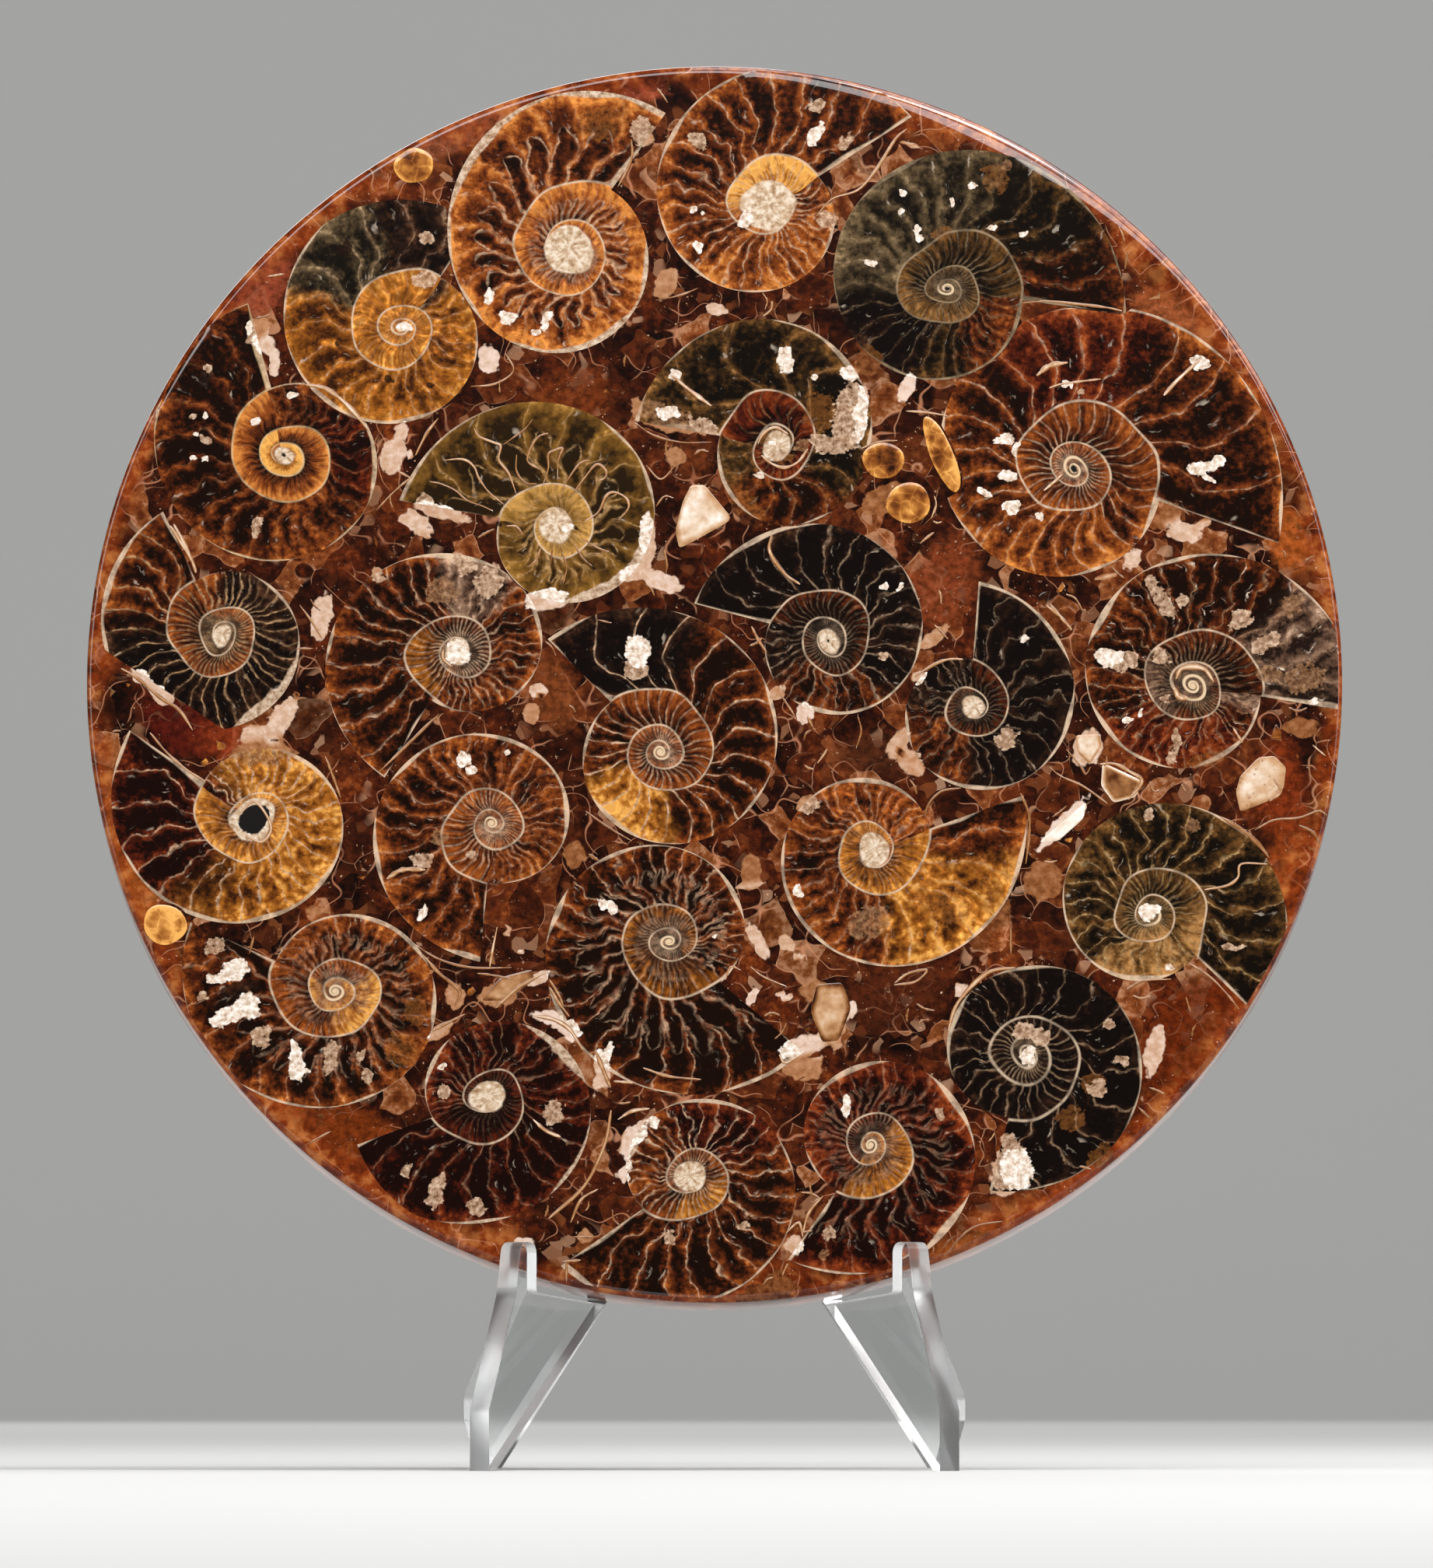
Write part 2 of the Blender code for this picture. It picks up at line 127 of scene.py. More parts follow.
class Shell:
    """One sliced ammonite. Lengths are in millimetres, angles in degrees from the right, going up."""

    chambers = 14          # in the first turn back from the mouth
    outer = 0.3            # how light the outer whorl is, 0 to 1
    inner = 0.25           # how light the inner whorls are
    band = 0.4             # how much lighter it is by the outer wall
    band_width = 1.3
    inner_band = 0.5
    contrast = 1.0
    lumen = 0.25           # how much darker the middle of a chamber is
    grit = 0.3             # how strongly it is grained like sugar
    septa = 0.6            # strength of the lines
    inner_septa = 0.45
    petals = 0.0           # chambers closed short of the outer wall
    frill = 1.0
    net = 0.35             # fine web of cracks
    comb = 0.0             # bubbly skins
    # How strong the painted glints are: white specks that stand in for highlights
    painted_glints = 0.4
    wall = CREAM
    wall_width = 0.09
    septum = CREAM
    core = 1.0
    core_kind = "spiral"   # or "disc"
    hole = 0.0
    zones = ()
    rinds = ()
    reach = 99.0
    broken = None          # angle and distance of a straight broken side

    def __init__(self, x, y, mouth, angle, growth, sense, oval, tilt, filling, **rest):
        self.x, self.y, self.mouth, self.angle = x, y, mouth, angle
        self.growth, self.sense, self.oval, self.tilt = growth, sense, oval, tilt
        self.filling = filling
        for key, value in rest.items():
            if not hasattr(self, key):
                raise ValueError(f"a shell has no {key}")
            setattr(self, key, value)


SHELLS = (
    Shell(-17.5, 52.5, 20.0, 55, 2.3, -1, 0.04, 90, AMBER,
          outer=0.46, inner=0.36, chambers=20, band=0.42, band_width=1.8, inner_band=0.62, septa=0.7,
          petals=0.9, comb=0.35, core=2.8, core_kind="disc",
          rinds=(Rind(125, 52, 0.9), Rind(312, 34, 0.6))),
    Shell(6.5, 57.5, 20.5, 33, 2.9, -1, 0, 0, AMBER,
          outer=0.31, inner=0.35, chambers=24, band=0.3, band_width=1.6, core=3.3, core_kind="disc",
          zones=(Zone(0, 280, 70, 0.14), Zone(1, 75, 120, 0.35, GOLD))),
    Shell(28.0, 47.5, 21.5, -8, 2.4, -1, 0, 0, OLIVE,
          outer=0.12, inner=0.08, chambers=22, band=0.16, inner_band=0.5, septa=0.5, inner_septa=0.8,
          septum=(112, 96, 74), wall=(150, 128, 100), core=0.9, hole=0.25,
          zones=(Zone(0, 125, 75, 0.26, MOSS), Zone(0, 215, 45, -0.12, SMOKE),
                 Zone(0, 330, 60, 0.05, AMBER), Zone(1, 250, 90, 0.3))),
    Shell(-37.5, 42.5, 19.0, 55, 2.4, -1, 0, 0, GOLD,
          outer=0.34, inner=0.58, chambers=18, band=0.2, inner_band=0.2, septa=0.3, inner_septa=0.1,
          comb=1.0, core=0.8, reach=16,
          zones=(Zone(0, 128, 40, -0.02, MOSS), Zone(0, 72, 36, -0.02, SMOKE))),
    Shell(-51.0, 27.5, 19.0, 105, 2.3, -1, 0, 0, AMBER,
          outer=0.16, inner=0.11, chambers=20, band=0.22, inner_band=0.95, septa=0.25, inner_septa=0.15,
          septum=TAN, wall=(200, 168, 126), core=1.0, core_kind="disc", hole=0.3,
          zones=(Zone(0, 270, 70, 0.1), Zone(0, 10, 60, -0.05, RED), Zone(2, 0, 180, 0.4, GOLD)),
          rinds=(Rind(50, 42, 0.55),)),
    Shell(7.5, 28.5, 18.0, 170, 2.5, 1, 0.04, 90, OLIVE,
          outer=0.27, inner=0, chambers=11, band=0.12, septa=0.5, frill=0.5, septum=TAN, core=1.7,
          core_kind="disc",
          zones=(Zone(0, 168, 20, 0.22), Zone(0, 275, 60, -0.05, AMBER), Zone(1, 0, 180, 0.1, RED))),
    Shell(43.0, 25.5, 26.0, -20, 2.4, -1, 0, 0, AMBER,
          outer=0.295, inner=0.26, chambers=18, band=0.3, band_width=1.7, inner_band=0.4, septa=0.5,
          frill=0.7, core=1.7, hole=0.4,
          zones=(Zone(0, 92, 40, 0.1, RED), Zone(0, 250, 60, 0.16), Zone(0, 5, 40, -0.06))),
    Shell(-19.0, 18.5, 19.0, 170, 2.8, 1, 0, 0, OCHRE,
          outer=0.33, inner=0.53, chambers=15, band=0.22, contrast=0.55, septa=1.0, inner_septa=0.7,
          petals=0.6, septum=(192, 160, 112), core=1.9, core_kind="disc",
          zones=(Zone(0, 150, 50, -0.12), Zone(0, 20, 40, -0.1)),
          rinds=(Rind(-38, 44, 1.3),)),
    Shell(-59.0, 5.5, 16.5, 115, 2.3, -1, 0, 0, SMOKE,
          outer=0.1, inner=0.07, chambers=27, band=0.25, septa=0.8, inner_septa=0.5, frill=0.7,
          septum=(178, 148, 112), core=1.2, core_kind="disc",
          broken=(236, 9.3),
          zones=(Zone(1, 0, 180, 0.12, AMBER), Zone(0, 130, 50, 0.12, AMBER)),
          rinds=(Rind(-50, 34, 1.5),)),
    Shell(-30.5, 3.5, 18.0, 240, 2.6, 1, 0.03, 0, AMBER,
          outer=0.17, inner=-0.06, chambers=25, band=0.3, inner_band=0.5, septa=0.5, core=1.6,
          core_kind="disc",
          zones=(Zone(0, 78, 30, 0.1, GREY), Zone(1, 200, 60, 0.2, GOLD))),
    Shell(13.5, 5.0, 16.5, 165, 2.3, 1, 0, 0, SMOKE,
          outer=0.04, inner=-0.2, chambers=22, band=0.12, septa=0.6, inner_septa=0.28,
          septum=(160, 140, 118), core=1.3, core_kind="disc", hole=0.3,
          zones=(Zone(0, 270, 60, 0.12, AMBER), Zone(1, 0, 180, 0.1, AMBER))),
    Shell(-6.5, -8.5, 19.0, 135, 2.3, 1, 0, 0, AMBER,
          outer=0.185, inner=0.28, chambers=18, band=0.16, inner_band=0.4, septa=0.85, frill=0.5,
          core=0.9,
          zones=(Zone(0, 240, 44, 0.45, GOLD), Zone(0, 105, 40, -0.05, SMOKE), Zone(0, 5, 58, 0.06))),
    Shell(30.5, -3.5, 15.5, 86, 2.6, 1, 0, 0, SMOKE,
          outer=0.07, inner=-0.22, chambers=20, band=0.1, septa=0.55, inner_septa=0.3, frill=1.5,
          septum=(132, 118, 100), core=1.4, core_kind="disc",
          zones=(Zone(0, 225, 50, 0.15, AMBER), Zone(1, 0, 180, 0.15, AMBER))),
    Shell(57.0, -0.5, 20.0, -10, 2.4, -1, 0, 0, AMBER,
          outer=0.16, inner=-0.05, chambers=26, band=0.14, septa=0.6, frill=1.4, painted_glints=0.9,
          septum=(160, 132, 104), core=1.9,
          zones=(Zone(0, 10, 40, 0.1, GREY), Zone(0, 262, 70, 0.14, RED), Zone(1, 190, 60, 0.1, GREY))),
    Shell(-55.0, -16.5, 18.0, 145, 2.5, -1, 0.02, 0, RED,
          outer=0.12, inner=0.08, chambers=22, band=0.14, septa=0.7, inner_septa=0.25, comb=0.3,
          core=2.6, core_kind="disc", hole=1.8,
          zones=(Zone(0, 0, 145, 0.4, GOLD), Zone(1, 0, 180, 0.3, GOLD))),
    Shell(-26.5, -17.5, 17.0, 265, 2.4, 1, 0.02, 0, AMBER,
          outer=0.28, inner=0.4, chambers=24, band=0.2, inner_band=0.3, septa=0.3, comb=0.2, core=0.9),
    Shell(19.0, -20.5, 19.0, 20, 2.7, 1, 0, 0, AMBER,
          outer=0.34, inner=0.2, chambers=22, band=0.2, septa=0.35, inner_septa=0.2, comb=0.7, core=1.9,
          core_kind="disc",
          zones=(Zone(0, 318, 46, 0.25, GOLD), Zone(1, 0, 180, 0.1, GOLD), Zone(0, 195, 40, -0.12))),
    Shell(52.0, -28.0, 18.0, 315, 2.4, -1, 0, 0, OLIVE,
          outer=0.24, inner=0.15, chambers=20, band=0.2, septa=0.9, inner_septa=0.42, frill=1.2,
          septum=(170, 146, 104), core=1.3,
          zones=(Zone(0, 265, 50, 0.4), Zone(1, 300, 80, 0.4))),
    Shell(-45.0, -37.5, 19.0, 155, 2.4, -1, 0.02, 0, AMBER,
          outer=0.24, inner=0.26, chambers=22, band=0.26, inner_band=0.45, septa=0.45, petals=0.5,
          core=1.3,
          zones=(Zone(2, 0, 180, 0.16, GOLD), Zone(1, 330, 70, 0.3, GOLD))),
    Shell(-5.5, -31.5, 21.0, 320, 2.6, 1, 0, 0, AMBER,
          outer=0.15, inner=-0.12, chambers=24, band=0.2, septa=0.8, petals=0.4, comb=0.2, frill=1.2,
          core=1.0,
          zones=(Zone(0, 280, 60, -0.05), Zone(1, 270, 180, 0.12, GOLD))),
    Shell(37.0, -45.5, 17.0, 255, 2.2, -1, 0.02, 0, SMOKE,
          outer=0.04, inner=-0.09, chambers=17, band=0.06, septa=0.7, inner_septa=0.6,
          septum=(150, 128, 104), wall=(196, 172, 146), wall_width=0.13, core=1.0),
    Shell(-27.0, -50.5, 18.5, 200, 2.7, -1, 0.02, 0, RED,
          outer=0.05, inner=-0.27, chambers=22, band=0.3, inner_band=0.7, septa=0.5, inner_septa=0.14,
          septum=(150, 118, 94), core=2.1, core_kind="disc", reach=16.5,
          rinds=(Rind(36, 30, 1.2), Rind(-25, 36, 0.6))),
    Shell(-3.0, -60.0, 18.5, 215, 2.8, -1, 0.02, 0, AMBER,
          outer=0.2, inner=0.11, chambers=22, band=0.24, inner_band=0.5, septa=0.7, frill=1.2, core=1.9,
          core_kind="disc",
          zones=(Zone(0, 60, 60, -0.08, RED), Zone(1, 300, 60, 0.25, GOLD)),
          rinds=(Rind(150, 24, 1.0),)),
    Shell(18.5, -56.0, 17.0, 235, 2.5, -1, 0, 0, RED,
          outer=0.12, inner=-0.07, chambers=24, band=0.42, inner_band=0.5, septa=0.3, petals=0.5, core=1.2,
          zones=(Zone(1, 320, 90, 0.35, GOLD), Zone(2, 0, 180, 0.3, GOLD))),
)

# Pieces of shell that have a node of their own: shade, corners
CHIPS = (
    (0.86, ((-4.2, 15.9), (2.2, 19.5), (-1.2, 23.7), (-2.8, 23.7), (-3.8, 21.7), (-4.7, 18.1))),
    (0.95, ((38.6, -19.7), (41.0, -19.5), (44.0, -16.8), (44.4, -14.7))),
    (0.74, ((62.7, -16.0), (66.0, -14.7), (67.9, -13.2), (68.2, -10.6), (66.8, -9.2), (64.9, -9.4),
            (62.7, -11.7), (62.2, -13.6))),
    (0.3, ((46.3, -10.0), (46.1, -12.8), (47.6, -14.9), (50.2, -14.2), (51.2, -12.3))),
    (0.8, ((43.1, -6.7), (43.3, -8.8), (44.8, -10.2), (46.2, -8.0), (45.9, -6.5))),
    (0.6, ((11.4, -40.0), (12.8, -43.8), (14.8, -43.6), (16.3, -39.6), (15.2, -36.6), (12.2, -36.8))),
    (0.5, ((-27.8, -38.8), (-24.8, -38.8), (-21.4, -36.2), (-21.8, -35.0), (-25.6, -36.0))),
)

# How much lighter each chip is round its rim
CHIP_EDGES = (-0.3, -0.12, -0.2, 0.5, -0.3, -0.35, -0.2)

# Amber pebbles with a node of their own: shade, centre, half length, half width, angle
PEBBLES = (
    (0.45, 20.2, 26.7, 2.5, 2.2, 0),
    (0.5, 23.2, 21.5, 2.6, 2.5, 0),
    (0.6, 27.2, 27.4, 4.8, 1.4, -68),
    (0.8, -65.5, -29.6, 2.6, 2.4, 0),
    (0.5, -36.1, 62.7, 2.4, 2.1, 20),
)

# Clear and coloured places in the matrix: centre, half length, half width, angle, strength, colour
PATCHES = (
    (-54.5, 48.0, 5.5, 3.0, 50, 0.85, (152, 76, 50)), (-69.5, 26.0, 6.5, 1.8, 70, 0.8, (128, 58, 20)),
    (-64.0, -5.5, 5.5, 3.4, -25, 0.8, (82, 24, 16)), (-57.5, -7.5, 3.6, 2.4, -15, 0.8, (142, 60, 30)),
    (-71.5, -13.0, 7.5, 1.6, 98, 0.85, (168, 104, 50)), (-69.0, -25.0, 6.5, 1.8, 112, 0.85, (172, 100, 42)),
    (55.0, 43.5, 5.0, 3.0, -42, 0.8, (160, 92, 52)), (64.5, 34.0, 5.0, 2.0, -58, 0.8, (140, 70, 30)),
    (68.5, 17.0, 4.6, 2.6, -75, 0.85, (172, 92, 36)), (68.0, -14.0, 8.0, 3.0, -85, 0.8, (132, 56, 24)),
    (67.0, -25.0, 6.5, 2.6, -105, 0.8, (142, 68, 26)), (57.5, -43.5, 8.5, 6.5, 50, 0.9, (108, 44, 14)),
    (27.0, 12.0, 6.0, 4.0, 60, 0.85, (132, 66, 36)), (21.0, -38.5, 8.5, 4.5, 15, 0.7, (84, 40, 20)),
    (-41.0, -56.0, 8.5, 3.4, -38, 0.85, (124, 58, 20)), (-51.5, -50.0, 6.5, 2.2, -48, 0.8, (140, 66, 26)),
    (-18.0, 34.0, 8.5, 3.8, 28, 0.6, (112, 54, 24)), (-40.0, -6.5, 5.5, 3.0, -50, 0.6, (108, 56, 28)),
    (44.0, -60.5, 9.5, 1.8, 35, 0.85, (150, 72, 34)), (29.0, -69.5, 7.0, 2.0, 24, 0.85, (168, 112, 52)),
    (-31.0, 66.5, 7.5, 1.6, 28, 0.85, (168, 112, 80)), (-8.5, 72.0, 4.5, 1.4, 5, 0.8, (158, 78, 56)),
    (-19.5, -1.5, 3.5, 5.0, 30, 0.7, (126, 70, 36)), (19.0, -9.0, 5.0, 3.0, 0, 0.6, (78, 42, 24)),
    (-2.5, 27.0, 2.6, 3.4, 10, 0.6, (120, 62, 30)), (7.0, -46.5, 6.0, 2.0, -15, 0.6, (120, 66, 30)),
)

# Lines of calcite, set on the face: shade, width, then places along them
VEINS = (
    (0.95, 0.75, 53.8, 34.6, 55.4, 36.4, 57, 37.9, 58.1, 38.9),
    (0.82, 0.9, 38.6, 37, 40.1, 38.2, 42.3, 38.6),
    (0.8, 0.4, 40.1, 35.5, 41.6, 36, 43.9, 36.3, 46.3, 36.6),
    (0.95, 0.5, 39.4, 23, 40.7, 24.1, 41.6, 25),
    (0.62, 0.4, -11.6, 60.1, -10.6, 62, -9.9, 64, -10, 65.9),
    (0.72, 0.45, 12.2, 56.5, 14.1, 58.6, 17.2, 59.7, 19.4, 62.2, 21.7, 65.9, 23.1, 67.2),
    (0.5, 0.25, -7.1, 46.2, -4.2, 46.8, -2, 47.7),
    (0.62, 0.42, 36.9, 45.9, 39.9, 46.1, 43.9, 45.7, 47.1, 45.3, 48.8, 44.9),
    (0.95, 0.8, -5, 37, -3.2, 35.4, -0.4, 33.3),
    (0.5, 0.3, -9.6, 31.3, -7.2, 29.7, -4, 28.9, -0.4, 28.9),
    (0.95, 0.5, 5.2, 28.7, 5.8, 29.9, 7.2, 30.7, 8.8, 29.9),
    (0.85, 0.55, 5.6, 27.3, 6.8, 26.3, 8.4, 25.8, 10, 26.5, 11.2, 28.1),
    (0.75, 0.4, 22.9, 32.7, 25.5, 32.5, 27.9, 32.1),
    (0.6, 0.3, 17.5, 28.1, 19.5, 28.9, 21.9, 29.1),
    (0.85, 0.3, 26.3, 22.4, 26.5, 21.2, 25.9, 19.6),
    (0.6, 0.25, -8.2, 26.1, -6.4, 24.4, -4.4, 26.5),
    (0.92, 0.85, -48.9, 35.9, -46.8, 35.5, -45.1, 34.4, -43.4, 32.8, -41.3, 30.2),
    (0.7, 0.4, -33.1, 31.8, -34.5, 29.9, -35.8, 27.3),
    (0.6, 0.3, -36.1, 24.8, -38.3, 22.9, -40.5, 20.6),
    (0.6, 0.3, -38, 25.4, -36.3, 24.5),
    (0.6, 0.3, -25.1, 39.8, -24.1, 37.6, -26.3, 36, -29.2, 35.7),
    (0.85, 0.6, -65.1, 18.7, -63.9, 16.8, -62.5, 14.5, -62, 13.2),
    (0.55, 0.28, -50, 3.8, -48, 3.8),
    (0.9, 0.7, -64.7, 18.9, -63.5, 16.7, -62.3, 14, -62, 13),
    (0.7, 0.6, -70.9, 1.4, -68.9, 0.2, -66.2, -2.1, -63.9, -3.7, -62.3, -6.1),
    (0.6, 0.3, -49.6, 9.1, -48, 6.9, -46.9, 5),
    (0.7, 0.4, -67.4, -6.4, -65.4, -8.8, -63.1, -10.8, -60.8, -12.3),
    (0.9, 0.55, -56.5, -16.1, -55, -14.7, -53.5, -16.3, -52.9, -18.2, -54, -19.6, -55.8, -19),
    (0.6, 0.4, -46.5, -9.2, -45.7, -11.2, -44.6, -14.3),
    (0.55, 0.4, -40.1, -11.2, -37.2, -8.4, -34.9, -6.1, -32.9, -4.1),
    (0.85, 0.55, -32.4, 3.8, -32.4, 2.6, -31.4, 1.6),
    (0.8, 0.8, -39.1, -24.1, -37.2, -23, -34.5, -23),
    (0.62, 0.3, -34.1, 24.1, -32.7, 23.8, -31, 23, -29.6, 21.8, -27.7, 21.1, -26.5, 20.5),
    (0.72, 0.36, -32.5, 26.7, -30.1, 26.8, -28.8, 25.9, -28.2, 24.5, -27, 22.8, -25.2, 21.3),
    (0.72, 0.36, -28.8, 30.6, -28.2, 29.6, -26.3, 28.8, -25.6, 28.4, -25.8, 26.7, -24.6, 25, -23.7, 22.5),
    (0.45, 0.25, -25.3, 28.6, -23.9, 29.6, -22.7, 30.5, -21.8, 31.7),
    (0.62, 0.32, -19.9, 30, -21, 29.6, -21.9, 28.4, -22.4, 26.7, -21.5, 25.9, -21, 25.7),
    (0.55, 0.28, -23.7, 27.4, -23.7, 25.4, -22.7, 24, -21.3, 23.8),
    (0.62, 0.32, -20.6, 23.5, -19.9, 25.7, -19.9, 27.4, -19.1, 27.9, -18.2, 28.1, -18.7, 26.7, -18.8, 24.2),
    (0.62, 0.32, -18.2, 23.3, -17, 25.2, -16, 26.4, -14.9, 26.7),
    (0.6, 0.3, -16.9, 22.7, -15.6, 24.5, -14.1, 26.2, -13, 25.4, -13.2, 24.5, -14.1, 24.2),
    (0.7, 0.38, -15.6, 19.2, -13.9, 20.4, -13, 22.3, -12, 22.8, -10.6, 22.1, -10.3, 20.9, -11.5, 19.4),
    (0.6, 0.35, -24.9, 18.7, -23.7, 18.6, -23, 17.7),
    (0.55, 0.28, -20.8, 16, -21.3, 14.6, -22.2, 13.8),
    (0.5, 0.26, -18.2, 15.5, -17.7, 13.6, -18.1, 11.7),
    (0.5, 0.26, -16.8, 16.5, -15.8, 14.8, -14.6, 13.8),
    (0.5, 0.26, -15.8, 17.2, -13.9, 16, -12.5, 15.5),
    (0.4, 0.22, -19.4, 15.8, -19.6, 14.1),
    (0.6, 0.35, -6, 15.8, -5.7, 14.1, -5.8, 12.9),
    (0.5, 0.25, -7, 21.1, -6, 22.3, -4.9, 22.1),
    (0.8, 0.6, 6.8, 17.6, 6.6, 15.6, 8.3, 13, 10.2, 11.6),
    (0.65, 0.5, 4.4, 6.5, 5.3, 4.7, 6.2, 3.4),
    (0.5, 0.22, -14, 7.3, -12.3, 6.9),
    (0.75, 0.45, 23.9, 0.4, 26.3, 1.9, 28, 2.5, 29.7, 2.5),
    (0.7, 0.5, 11.1, -4.4, 11.7, -5.7),
    (0.55, 0.3, 7.9, -1.8, 9.6, -4.4),
    (0.5, 0.25, 17.1, -4.4, 17.5, -6.2, 16.9, -8.3),
    (0.6, 0.5, 39.6, 9.1, 41.7, 7.3, 42.6, 6),
    (0.8, 0.5, 61.9, -5.8, 63, -7.6),
    (0.92, 0.9, 55.1, 0.1, 55.7, 1.3, 57.1, 1.6, 58.6, 1.2, 59.6, -0.2),
    (0.92, 1.1, 54.9, -1, 55.5, -2.1, 56.5, -2.2),
    (0.8, 0.55, 40.1, 9.2, 41.4, 7.6, 42.7, 6.1),
    (0.6, 0.3, 42, 10.4, 43.1, 9.9, 44, 8.4),
    (0.75, 0.6, 46, -10.2, 47.8, -10.2, 49.5, -11.1, 51, -12.3, 49.4, -14.5),
    (0.6, 0.3, 39.9, -10.5, 41.4, -11.7, 44, -12.9, 46.9, -15),
    (0.5, 0.25, 42, -8.4, 43.7, -10.5, 44.3, -11.4, 44.9, -10.5),
    (0.6, 0.3, 64.4, -18.2, 66.7, -17, 69.7, -16.7, 72, -15.9, 73.2, -16.4),
    (0.4, 0.4, 69.7, -17.6, 71.4, -18.5, 72.3, -20),
    (0.7, 0.4, 66.7, -12, 67.6, -13.5, 66.2, -14.7),
    (0.85, 0.3, 71.4, -7.9, 72.3, -8.7, 72.9, -9.2),
    (0.6, 0.25, 55.7, -12.6, 56.2, -13.5),
    (0.55, 0.25, 51.9, -12.3, 52.5, -13.5, 53.9, -12.9),
    (0.8, 0.4, 58.4, -25.4, 61.1, -24.9, 62.4, -23.9, 62.8, -22.3, 65.9, -22.3),
    (0.6, 0.35, 56.6, -34.3, 59.1, -36, 61.1, -38.1, 62.4, -39.8),
    (0.5, 0.7, 60.4, -16.6, 62.8, -18.1, 64.8, -19.8, 66.1, -21.5),
    (0.6, 0.4, 43.4, -58.7, 44.8, -59.1),
    (0.6, 0.4, 49.1, -37.4, 51.1, -36.4, 54.4, -36.2),
    (0.5, 0.3, 50.4, -51.6, 51.8, -53),
    (0.45, 0.35, 25.1, -16.7, 25.5, -15.1, 27.1, -13.5, 29.4, -13.1),
    (0.5, 0.4, 36.5, -13.7, 37.5, -16.3, 37.5, -19.1, 37.1, -22.3),
    (0.62, 0.3, 3.1, -35.1, 1.9, -34.7, 1.3, -36.3),
    (0.72, 0.35, 4.3, -34.7, 5.8, -35.9, 8.6, -37.1),
    (0.6, 0.45, -8.5, -46.9, -5.5, -47.9, -1.6, -48.3),
    (0.9, 0.5, 7.7, -45.3, 8.4, -46.3, 9.8, -45.5),
    (0.8, 0.5, -12, -48.5, -9.5, -48.7),
    (0.7, 0.5, 21.4, -36.7, 23.1, -35.5, 25.3, -35.1, 23.9, -36.5, 21.4, -36.9),
    (0.7, 0.4, -19.7, -37.1, -18.5, -39.1, -17.3, -40.7),
    (0.6, 0.35, 35.3, -29.9, 35.3, -33.1),
    (0.5, 0.3, -15.4, -15.9, -12.6, -17.9, -9.9, -19.5),
    (0.4, 0.6, -15, -21.1, -13.8, -21.9),
    (0.5, 0.35, -55.4, -33.1, -54.9, -31),
    (0.6, 0.6, -34.9, -33.1, -32.8, -35.5, -30.4, -37.6, -30.9, -39.4),
    (0.75, 0.55, -26.1, -39.7, -23.5, -37.3, -20.4, -35.5),
    (0.55, 0.3, -28.3, -35.5, -26.6, -35.7, -24.2, -36.2),
    (0.85, 0.35, -25.9, -29.9, -26.4, -32.4, -26.8, -34.8),
    (0.6, 0.35, -19.7, -36.2, -18.6, -38, -18, -39.4),
    (0.5, 0.3, -35.9, -31.9, -32.8, -33.8, -29, -34.8, -24.2, -34.8),
    (0.95, 0.7, -21.6, -40.6, -19.3, -41, -17.3, -42.2, -15.7, -44.7),
    (0.95, 0.55, -21.6, -53.1, -20, -54.5, -18.3, -55.2),
    (0.6, 0.5, -33.8, -42.5, -31.8, -41.5, -29.7, -40.4),
    (0.7, 0.8, -14.2, -44.7, -13.1, -47.5, -12.4, -49.2),
    (0.5, 0.25, -48.7, -56.2, -45.6, -54.5),
    (0.7, 0.6, -12.3, -52, -13.1, -56.2, -15.5, -61.1, -19.7, -65),
    (0.9, 0.5, -11.5, -53.1, -9.8, -52.1, -7.7, -51.8),
    (0.7, 0.4, -17.1, -65.5, -15.9, -62.8, -13.9, -61.5),
    (0.5, 0.25, -16.9, -67.2, -14.4, -67.2),
    (0.6, 0.4, -18.1, -70.2, -15.9, -70),
    (0.6, 0.4, -17.6, -70.2, -17.6, -72.7),
    (0.75, 0.35, 8.5, -66.7, 10, -65.5, 10.5, -67.2),
    (0.75, 0.4, 10.5, -66.7, 11.2, -64.3, 12.9, -62.3),
    (0.8, 0.8, 27.8, -42.4, 29, -39, 32.4, -35.5, 35.8, -34.8),
    (0.4, 0.3, 27.1, -69.7, 30.5, -66.2, 34.4, -65.3),
)

# How spots look, by shade: lowest, highest, strength, how broken up they are, colours along their grain
BLOB_KINDS = (
    (0.0, 0.12, 0.85, 0.6, ((0.3, (10, 6, 5)), (0.7, (40, 22, 14)))),
    (0.12, 0.38, 0.35, 2.0, ((0.3, (64, 30, 12)), (0.6, (148, 92, 42)))),
    (0.38, 0.6, 0.6, 2.4, ((0.3, (74, 44, 26)), (0.5, (128, 90, 60)), (0.7, (176, 136, 100)))),
    (0.6, 0.8, 0.8, 2.0, ((0.3, (110, 78, 56)), (0.48, (166, 130, 102)), (0.66, (216, 188, 162)))),
    (0.8, 1.01, 0.95, 1.0, ((0.3, (164, 136, 112)), (0.46, (212, 190, 170)), (0.62, (242, 234, 226)))),
)

